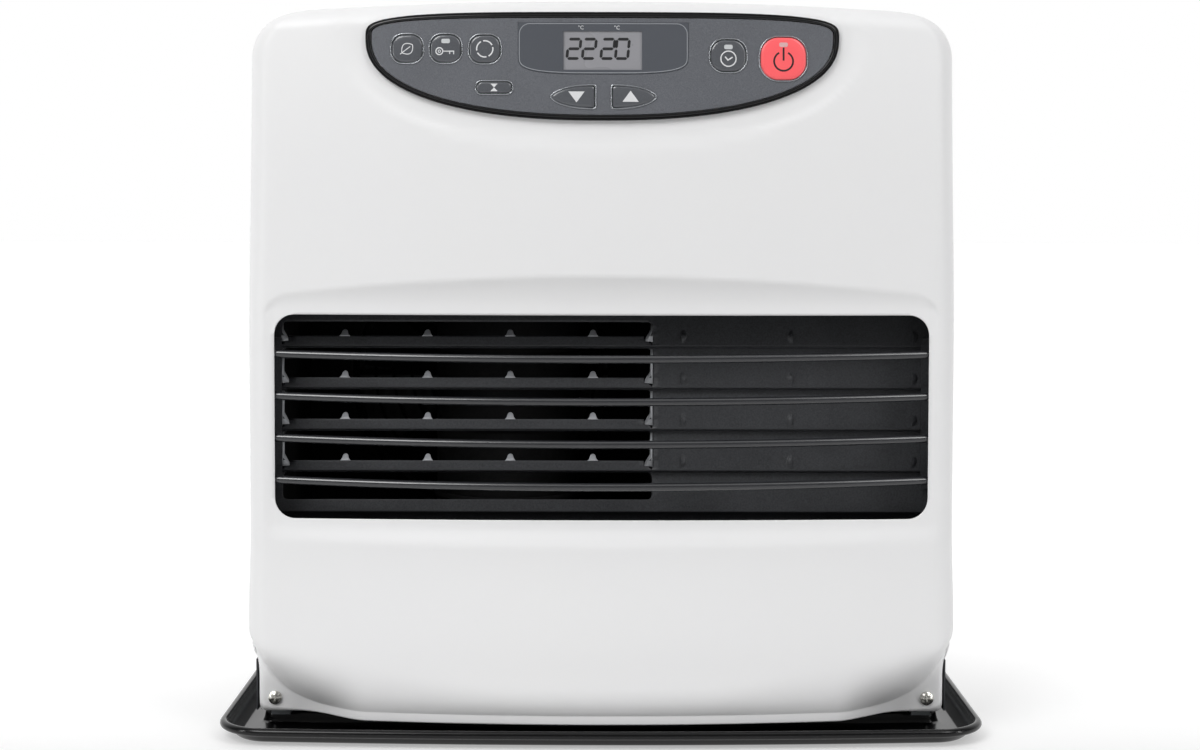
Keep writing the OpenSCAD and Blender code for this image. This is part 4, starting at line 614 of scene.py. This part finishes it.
def slatTabs(s):
    # flared tab: half width narrows upwards into a round top, the tab leans back so that it catches the light
    u, v = np.meshgrid(np.linspace(-1, 1, 9), np.linspace(0, 1, 8))
    halfWidth = 1.7 + 1.5 * (1 - v) ** 3
    halfWidth = halfWidth * np.sqrt(clamp01(1 - (clamp01(v - 0.6) / 0.41) ** 2))
    points, faces = [], []
    for i in range(1, 5):
        base = s["firstEdge"] + i * s["pitch"] + s["slat"] - 0.3
        for at in s["tabs"]:
            points.append(np.stack([at + u * halfWidth, clapboardY(np.array(base)) + 3.4 * v ** 1.2 + 0 * u,
                                    base + 3.7 * v + 0 * u], -1).reshape(-1, 3))
            faces.append(gridFaces(*u.shape, first=72 * (len(points) - 1)))
    return np.concatenate(points), np.concatenate(faces)


# the tabs' pale grey is painted highlight
tabs = buildMesh("slatTabs", *slatTabs(louvre), tabHighlightPaint, "heater", "heat_paint")
thicken(tabs, 0.0009, 0)


def slatGussets(s):
    # at each slat's end a web: a thin upright band beside the cut-out that flares to a triangle on the slat's cut corner
    points, faces = [], []
    for i in range(1, 5):
        z0 = s["firstEdge"] + i * s["pitch"]
        slatTop = z0 + s["slat"]
        high = s["outletZ"][1] - 1.5 if i == 4 else z0 + s["pitch"] - 2.2
        y = float(clapboardY(np.array(slatTop)))
        for at, side in ((s["outletX"][0], 1), (s["outletX"][1], -1)):
            points += [[at - side * 0.4, s["plateY"] - 0.3, high], [at + side * 0.7, s["plateY"] + 0.4, high],
                       [at + side * 0.8, s["plateY"] - 0.6, slatTop + 3.4], [at + side * 3.9, y - 0.1, slatTop - 1.2],
                       [at + side * 4.2, y - 0.5, slatTop - 3.2], [at - side * 0.4, y - 0.6, slatTop - 3.6]]
            k = len(points) - 6
            faces.append(list(range(k, k + 6))[::side])
    return points, faces


# the webs' pale grey is painted highlight
gussets = buildMesh("slatGussets", *slatGussets(louvre), tabHighlightPaint, "heater", "heat_paint")
thicken(gussets, 0.0008)
print("stage: louvre plate")

# Control panel
panel = dict(lowZ=365.1, bowR=195 ** 2 / 22, keyTop=2.5)
leanLow = cover["lean"] * clamp01((panel["lowZ"] - 340) / 95) ** 2
leanHigh = cover["lean"] * clamp01((427.9 - 340) / 95) ** 2
panelSlope = math.atan((leanHigh - leanLow) / 62.8)


def onPanel(x, z, depth):
    # point of the panel's bowed, leaning sheet at x and z, moved out along its normal by depth
    turn = np.arcsin(x / panel["bowR"])
    y = cover["sideY"] - cover["bow"] * (1 - (x / 195) ** 2) + leanLow + math.tan(panelSlope) * (z - panel["lowZ"])
    c = math.cos(panelSlope)
    return np.stack([x + depth * np.sin(turn) * c, y - depth * np.cos(turn) * c,
                     z + depth * math.sin(panelSlope) + 0 * x], -1)


def panelRing(inset, count):
    # superellipse outline: flat-topped above its widest line, deep arc below
    a = np.linspace(0, 2 * np.pi, count, endpoint=False)
    c, s = np.cos(a), np.sin(a)
    up = s > 0
    power = np.where(up, 4.0, 2.3)
    height = np.where(up, cover["panelUp"], cover["panelDown"]) - inset
    x = (cover["panelHalf"] - inset) * np.sign(c) * np.abs(c) ** (2 / power)
    z = cover["panelZ"] + height * np.sign(s) * np.abs(s) ** (2 / power)
    return x, z


def ringProfile(section, ring, name, material, slotName, replaced=(), body="heater", sharp=40):
    # section points (inset, depth) carried round an outline given for each inset
    x, z = zip(*[ring(inset) for inset, depth in section])
    depth = np.array([d for inset, d in section])[:, None]
    points = onPanel(np.array(x), np.array(z), depth)
    return buildMesh(name, points, gridFaces(*points.shape[:2], loopCols=True, loopRows=True), material, body, slotName,
                     replaced, sharp)


bezel = dict(section=[(0, 0.87), (0, 1.5), (0.25, 1.78), (0.9, 1.78), (1.05, 1.35), (1.25, 1.35), (1.4, 2.15), (1.6, 2.3),
                      (2.7, 2.3), (2.95, 2.15), (3.35, 1.4), (3.35, 0.87)], count=520)
ringProfile(bezel["section"], lambda d: panelRing(d, bezel["count"]), "panelBezel", blackAbs, "bezel_black",
            ["panel_bezel"])


def roundedOutline(w, h, r, perCorner=14):
    # rounded rectangle about the origin, anticlockwise
    a = np.radians(np.linspace(0, 90, perCorner))
    c, s = np.cos(a), np.sin(a)
    x = np.concatenate([w / 2 - r + r * c, -w / 2 + r - r * s, -w / 2 + r - r * c, w / 2 - r + r * s])
    z = np.concatenate([h / 2 - r + r * s, h / 2 - r + r * c, -h / 2 + r - r * s, -h / 2 + r - r * c])
    return np.stack([x, z], 1)


def leafOutline(length, height, grow, side):
    # half height falls from the square end to a blunt tip as (1 - u^2.4)^0.62; side +1 points right
    l, h = length + 2 * grow, height / 2 + grow
    u = np.sin(np.linspace(0.03, 0.5, 40) * np.pi)
    edge = h * np.clip(1 - u ** 2.4, 0, 1) ** 0.62
    corner = 1.6
    a = np.radians(np.linspace(0, 84, 7))
    square = np.stack([-l / 2 + corner - corner * np.cos(a), h - corner + corner * np.sin(a)], 1)
    keep = u * l > corner
    upper = np.concatenate([square, np.stack([-l / 2 + u * l, edge], 1)[keep]])
    outline = np.concatenate([upper[:-1] * [1, 1], upper[::-1] * [1, -1]])
    return outline[::-1] if side > 0 else outline * [-1, 1]


def outlineRadius(outline, angles):
    # distance from the origin to a closed outline in given directions, read off its densely split edges
    t = np.linspace(0, 1, 60, endpoint=False)[None, :, None]
    dense = (outline[:, None] * (1 - t) + np.roll(outline, -1, 0)[:, None] * t).reshape(-1, 2)
    at = np.arctan2(dense[:, 1], dense[:, 0])
    order = np.argsort(at)
    return np.interp(angles, at[order], np.hypot(*dense.T)[order], period=2 * np.pi)


keySettings = dict(
    save=dict(at=(-113, 406.7), kind="round", size=(17.6, 15.84, 6.4), slot="key_grey"),
    lock=dict(at=(-90.6, 406.7), kind="round", size=(17.6, 15.84, 6.4), slot="key_grey"),
    clean=dict(at=(-67.9, 406.4), kind="round", size=(17.6, 15.84, 6.4), slot="key_grey"),
    three_hour=dict(at=(-62.5, 384.1), kind="round", size=(20.2, 6.4, 2.8), slot="key_grey"),
    down=dict(at=(-16.8, 378.8), kind="leaf", size=(24.6, 12.4, -1), slot="key_grey"),
    up=dict(at=(18.2, 378.8), kind="leaf", size=(24.6, 12.4, 1), slot="key_grey"),
    timer=dict(at=(72.8, 402.8), kind="round", size=(20.24, 18.13, 7.6), slot="key_grey"),
    power=dict(at=(104.8, 401.3), kind="round", size=(26.4, 24.46, 10.2), slot="power_coral"))


def keyOutline(s, grow=0.0):
    w, h, r = s["size"]
    if s["kind"] == "leaf":
        return leafOutline(w, h, grow, r)
    return roundedOutline(w + 2 * grow, h + 2 * grow, r + grow)


def keyDepth(share):
    # depth of a key's top over its outline share: flat middle, then a shoulder that rolls over ever faster
    return panel["keyTop"] - 0.22 * ease(0.62, 0.95, share) - 0.6 * clamp01((share - 0.84) / 0.16) ** 2.2


def keyCap(name, s):
    # outline scaled towards the key's middle, depth from the dome; walls run down behind the fascia, closed there
    outline = keyOutline(s)
    share = np.concatenate([[0.001], np.linspace(0.15, 0.84, 7), np.linspace(0.88, 1, 8)])
    depth = keyDepth(share)
    share = np.concatenate([share, [1, 1, 0.001]])
    depth = np.concatenate([depth, [1.2, 0.2, 0.2]])
    pts = outline[None] * share[:, None, None]
    points = onPanel(s["at"][0] + pts[..., 0], s["at"][1] + pts[..., 1], depth[:, None])
    material = coralKey if s["slot"] == "power_coral" else keyPlastic
    return buildMesh("keyCap_" + name, points, gridFaces(*points.shape[:2], loopCols=True), material, "key_" + name,
                     s["slot"], ["key_" + name], sharp=60)


def keyRim(name, s):
    # thin raised lip moulded in the fascia round each key's opening
    section = [(0.32, 1.4), (0.33, 2.1), (0.45, 2.36), (0.65, 2.46), (0.9, 2.4), (1.15, 2.1), (1.3, 1.6)]
    points = np.stack([onPanel(s["at"][0] + o[:, 0], s["at"][1] + o[:, 1], d)
                       for o, d in [(keyOutline(s, g), d) for g, d in section]])
    # the rim's pale metal paints a highlight line round the key
    return buildMesh("keyRim_" + name, points, gridFaces(*points.shape[:2], loopCols=True, loopRows=True, flip=True),
                     rimHighlightMetal, "heater", "fascia_grey", sharp=50)


rimHighlightMetal = coatedSheet("rimHighlightMetal", dict(  # lip of each key opening, pale bright metal: its light colour paints the highlight line round each key, and it also reflects the lamps
    colors=("#9fa2a6", "#abaeb2"), roughness=(0.12, 0.18), grain=0.5, bump=0.02, drift=10, metallic=0.9))
# pad-printed inks
paleInk = coatedSheet("paleInk", dict(colors=("#d6d7d8", "#cfd0d2"), roughness=(0.5, 0.6), grain=0.4, bump=0.1, drift=5))
greyInk = coatedSheet("greyInk", dict(colors=("#8f9296", "#888b90"), roughness=(0.4, 0.5), grain=0.4, bump=0.1, drift=5))
blackInk = coatedSheet("blackInk", dict(colors=("#101011", "#17171a"), roughness=(0.45, 0.55), grain=0.4, bump=0.1, drift=5))
for keyName, keySetting in keySettings.items():
    keyCap(keyName, keySetting)
    keyRim(keyName, keySetting)
print("stage: keys")


def stroke(line, width, closed=False):
    # flat band of given width along a polyline, drawn in the panel's x and z
    line = np.asarray(line, float)
    ahead = np.roll(line, -1, 0) - line
    if not closed:
        ahead[-1] = ahead[-2]
    behind = np.roll(ahead, 1, 0)
    if not closed:
        behind[0] = ahead[0]
    ahead, behind = (v / np.linalg.norm(v, axis=1)[:, None] for v in (ahead, behind))
    mean = ahead + behind
    mean /= np.linalg.norm(mean, axis=1)[:, None]
    side = np.stack([-mean[:, 1], mean[:, 0]], 1) * (width / 2 / np.maximum(0.5, (mean * ahead).sum(1)))[:, None]
    n = len(line)
    quads = [[i, (i + 1) % n, n + (i + 1) % n, n + i] for i in range(n if closed else n - 1)]
    return np.concatenate([line - side, line + side]), quads


def arcLine(radius, start, end, centre=(0, 0), count=28):
    a = np.radians(np.linspace(start, end, count))
    return np.stack([centre[0] + radius * np.cos(a), centre[1] + radius * np.sin(a)], 1)


def printed(name, shapes, at, material, body, slotName, depth=None, lift=0.04):
    # shapes are (points, faces) in the panel's plane about at; they lie a hair above the surface
    points, faces, count = [], [], 0
    for pts, fcs in shapes:
        points.append(pts)
        faces += [[i + count for i in f] for f in fcs]
        count += len(pts)
    pts = np.concatenate(points)
    level = np.full(len(pts), float(panel["keyTop"] if depth is None else depth))
    return buildMesh(name, onPanel(at[0] + pts[:, 0], at[1] + pts[:, 1], level + lift), faces, material, body, slotName)


def filled(outline):
    return np.asarray(outline, float), [list(range(len(outline)))]


powerMark = [stroke(arcLine(5.5, 118, 422, (0, -1.6), 48), 1.05), stroke([(0, 6.4), (0, -1.2)], 1.05)]
clockMark = [stroke(arcLine(4.4, 0, 360, (0, -1.8), 49)[:-1], 0.7, True),
             stroke([(-2.0, -0.6), (-0.3, -2.6), (2.4, -0.9)], 0.75)]
cycleMark = [stroke(arcLine(4.7, a + 8, a + 82, (0, 0), 16), 0.75) for a in (20, 110, 200, 290)]
keyMark = [stroke(arcLine(2.0, 0, 360, (-3.6, -1.6), 33)[:-1], 0.65, True),
           stroke(arcLine(0.7, 0, 360, (-3.6, -1.6), 17)[:-1], 0.4, True),
           stroke([(-1.6, -1.6), (5.0, -1.6)], 0.55), stroke([(2.4, -1.8), (2.4, -3.2)], 0.55),
           stroke([(4.7, -1.8), (4.7, -3.4)], 0.55)]
leafT = np.linspace(0, 1, 20)
leafEdge = np.stack([-3.8 + 7.6 * leafT, 3.2 * np.sin(np.pi * leafT) ** 0.8 - 0.2], 1)
leafTilt = np.array([[0.8, 0.6], [-0.6, 0.8]])
leafMark = [stroke(np.concatenate([leafEdge, leafEdge[::-1][1:-1] * [1, -1] - [0, 0.4]])
                   @ leafTilt, 0.5, True),
            stroke(np.array([(-5.2, -0.2), (2.2, -0.2)]) @ leafTilt, 0.5)]
downMark = [filled([(-2.8, 3.0), (1.9, -3.3), (6.6, 3.0)])]
upMark = [filled([(-6.6, -2.9), (2.8, -2.9), (-1.9, 3.5)])]
for markName, mark, keyName, ink in (
        ("powerMark", powerMark, "power", blackInk), ("clockMark", clockMark, "timer", paleInk),
        ("cycleMark", cycleMark, "clean", paleInk), ("keyMark", keyMark, "lock", paleInk),
        ("leafMark", leafMark, "save", paleInk), ("downMark", downMark, "down", paleInk),
        ("upMark", upMark, "up", paleInk)):
    printed(markName, mark, keySettings[keyName]["at"], ink, "key_" + keyName, keySettings[keyName]["slot"])


def lettering(text, height):
    # the built-in font, made a mesh and scaled so that capitals are height tall, centred
    curve = bpy.data.curves.new("word", "FONT")
    curve.body = text
    curve.resolution_u = 3
    obj = bpy.data.objects.new("word", curve)
    bpy.context.scene.collection.objects.link(obj)
    bpy.context.view_layer.update()
    mesh = bpy.data.meshes.new_from_object(obj)
    pts = np.empty(len(mesh.vertices) * 3)
    mesh.vertices.foreach_get("co", pts)
    pts = pts.reshape(-1, 3)[:, :2]
    faces = [list(f.vertices) for f in mesh.polygons]
    bpy.data.objects.remove(obj)
    pts = (pts - (pts.min(0) + pts.max(0)) / 2) * height / 0.73
    return pts, faces


hourglassMark = [filled([(-2.1, 2.2), (0, 0), (2.1, 2.2)]), filled([(-2.1, -2.2), (2.1, -2.2), (0, 0)])]
printed("hourglassMark", hourglassMark, keySettings["three_hour"]["at"], paleInk, "key_three_hour", "key_grey")

# Display
display = dict(centre=(0.2, 405.6), glass=(45.4, 22.4), glassDepth=1.25, shieldHalf=49.4, shieldX=0.5, top=422, side=402.5,
               low=391.8)


def shieldOutline(inset, perArc=40):
    # straight top and sides with a flat arc below, anticlockwise
    a = np.linspace(np.pi, 2 * np.pi, perArc)
    c, s = np.cos(a), np.sin(a)
    hw, dz = display["shieldHalf"] - inset, display["side"] - display["low"] - inset
    low = np.stack([display["shieldX"] + hw * np.sign(c) * np.abs(c) ** (2 / 3.5),
                    display["side"] - dz * np.abs(s) ** (2 / 3.5)], 1)
    r = 1.2 if inset < 0.5 else 6
    t = np.radians(np.linspace(0, 90, 8))
    top = display["top"] - inset
    right = np.stack([display["shieldX"] + hw - r + r * np.cos(t), top - r + r * np.sin(t)], 1)
    left = np.stack([display["shieldX"] - hw + r - r * np.sin(t), top - r + r * np.cos(t)], 1)
    over = np.stack([np.linspace(right[-1, 0], left[0, 0], 24)[1:-1], np.full(22, top)], 1)
    return np.concatenate([low, right, over, left])


def shieldSheet():
    # rings from the window's edge out to the shield's outline; the window's rectangle is met by angle
    cx, cz = display["centre"]
    w, h = display["glass"][0] / 2, display["glass"][1] / 2
    outer = shieldOutline(0.2) - [cx, cz]
    corner = math.atan2(h, w)
    angles = np.unique(np.concatenate([np.linspace(-np.pi, np.pi, 240, endpoint=False), np.arctan2(outer[:, 1], outer[:, 0]),
                                       [corner, -corner, np.pi - corner, corner - np.pi]]))
    way = np.stack([np.cos(angles), np.sin(angles)], 1)
    d = way * outlineRadius(outer, angles)[:, None]
    inner = way / np.maximum(np.abs(way[:, 0]) / w, np.abs(way[:, 1]) / h)[:, None]
    share = np.linspace(0, 1, 12)[:, None, None]
    rings = [cx, cz] + inner + (d - inner) * share
    depth = np.full(12, 1.9)
    rings = np.concatenate([rings[:1], rings, rings[-1:]])
    depth = np.concatenate([[1.02], depth, [1.02]])
    return onPanel(rings[..., 0], rings[..., 1], depth[:, None])


shieldPoints = shieldSheet()
buildMesh("displayShield", shieldPoints, gridFaces(*shieldPoints.shape[:2], loopCols=True, flip=True),
          shieldFilm, "heater", "shield_grey", ["display_lens"], sharp=40)
printed("shieldLine", [stroke(shieldOutline(0.9), 0.45, True)], (0, 0), greyInk, "heater", "shield_grey", depth=1.9)
glassX, glassZ = np.meshgrid(np.linspace(-22.7, 22.7, 24), np.linspace(-11.2, 11.2, 12))
lcdPoints = onPanel(display["centre"][0] + glassX, display["centre"][1] + glassZ, display["glassDepth"])
buildMesh("lcdFace", lcdPoints, gridFaces(*lcdPoints.shape[:2]), lcdGlass, "heater", "lcd_glass")


def sevenSegment(digit, x0):
    # hexagonal bars of a slanted seven-segment figure; returns one shape a lit bar
    w, h, t, gap = 7.1, 11.2, 1.65, 0.2
    lit = {"0": "abcdef", "2": "abged"}[digit]
    centres = dict(a=(w / 2, h, 0), b=(w, h * 0.75, 1), c=(w, h * 0.25, 1), d=(w / 2, 0, 0), e=(0, h * 0.25, 1),
                   f=(0, h * 0.75, 1), g=(w / 2, h / 2, 0))
    shapes = []
    for bar in lit:
        cx, cz, upright = centres[bar]
        length = (h / 2 if upright else w) / 2 - gap
        hexagon = np.array([(-length, 0), (-length + t / 2, -t / 2), (length - t / 2, -t / 2),
                            (length, 0), (length - t / 2, t / 2), (-length + t / 2, t / 2)])
        if upright:
            hexagon = hexagon[:, ::-1] * [-1, 1]
        hexagon = hexagon + [cx, cz]
        hexagon[:, 0] += 0.09 * hexagon[:, 1] + x0
        shapes.append(filled(hexagon))
    return shapes


figures = sum([sevenSegment(d, x) for d, x in zip("2220", (-21.0, -12.1, -1.4, 7.0))], [])
printed("lcdFigures", figures, (display["centre"][0] + 0.3, display["centre"][1] - 4.6), blackInk, "heater",
        "lcd_glass", depth=display["glassDepth"])
printed("degreeMarks", [(pts + [x, 0], faces) for x in (-12.6, 8.2) for pts, faces in [lettering("°C", 2.3)]],
        (display["centre"][0], 418.9), paleInk, "heater", "shield_grey", depth=1.9)
print("stage: display")

# Stage floor
floorMaterial = coatedSheet("paleFloor", dict(colors=("#c6c6c6", "#c3c3c3"), roughness=(0.7, 0.8), grain=2, bump=0.0,
                                              drift=400, fleck=0))
# light of its own grows smoothly from the front of the floor to the back, as on a lit sweep
floorTree = floorMaterial.node_tree
floorPlace = addNode(floorTree, "ShaderNodeTexCoord")
floorAxes = addNode(floorTree, "ShaderNodeSeparateXYZ", links={"Vector": (floorPlace, "Object")})
floorGlow = addNode(floorTree, "ShaderNodeMapRange",
                    {"interpolation_type": "SMOOTHSTEP", "From Min": -0.6, "From Max": 0.25, "To Min": 0.0, "To Max": 0.7},
                    {"Value": (floorAxes, "Y")})
floorShader = floorTree.nodes["Principled BSDF"]
floorShader.inputs["Emission Color"].default_value = linearColor("#ffffff")
floorTree.links.new(floorGlow.outputs["Result"], floorShader.inputs["Emission Strength"])
floorMesh = bpy.data.meshes.new("studioFloor")
floorMesh.from_pydata([(-12, -6, -0.0002), (12, -6, -0.0002), (12, 14, -0.0002), (-12, 14, -0.0002)], [], [(0, 1, 2, 3)])
studioFloor = bpy.data.objects.new("studioFloor", floorMesh)
bpy.context.scene.collection.objects.link(studioFloor)
floorMesh.materials.append(floorMaterial)
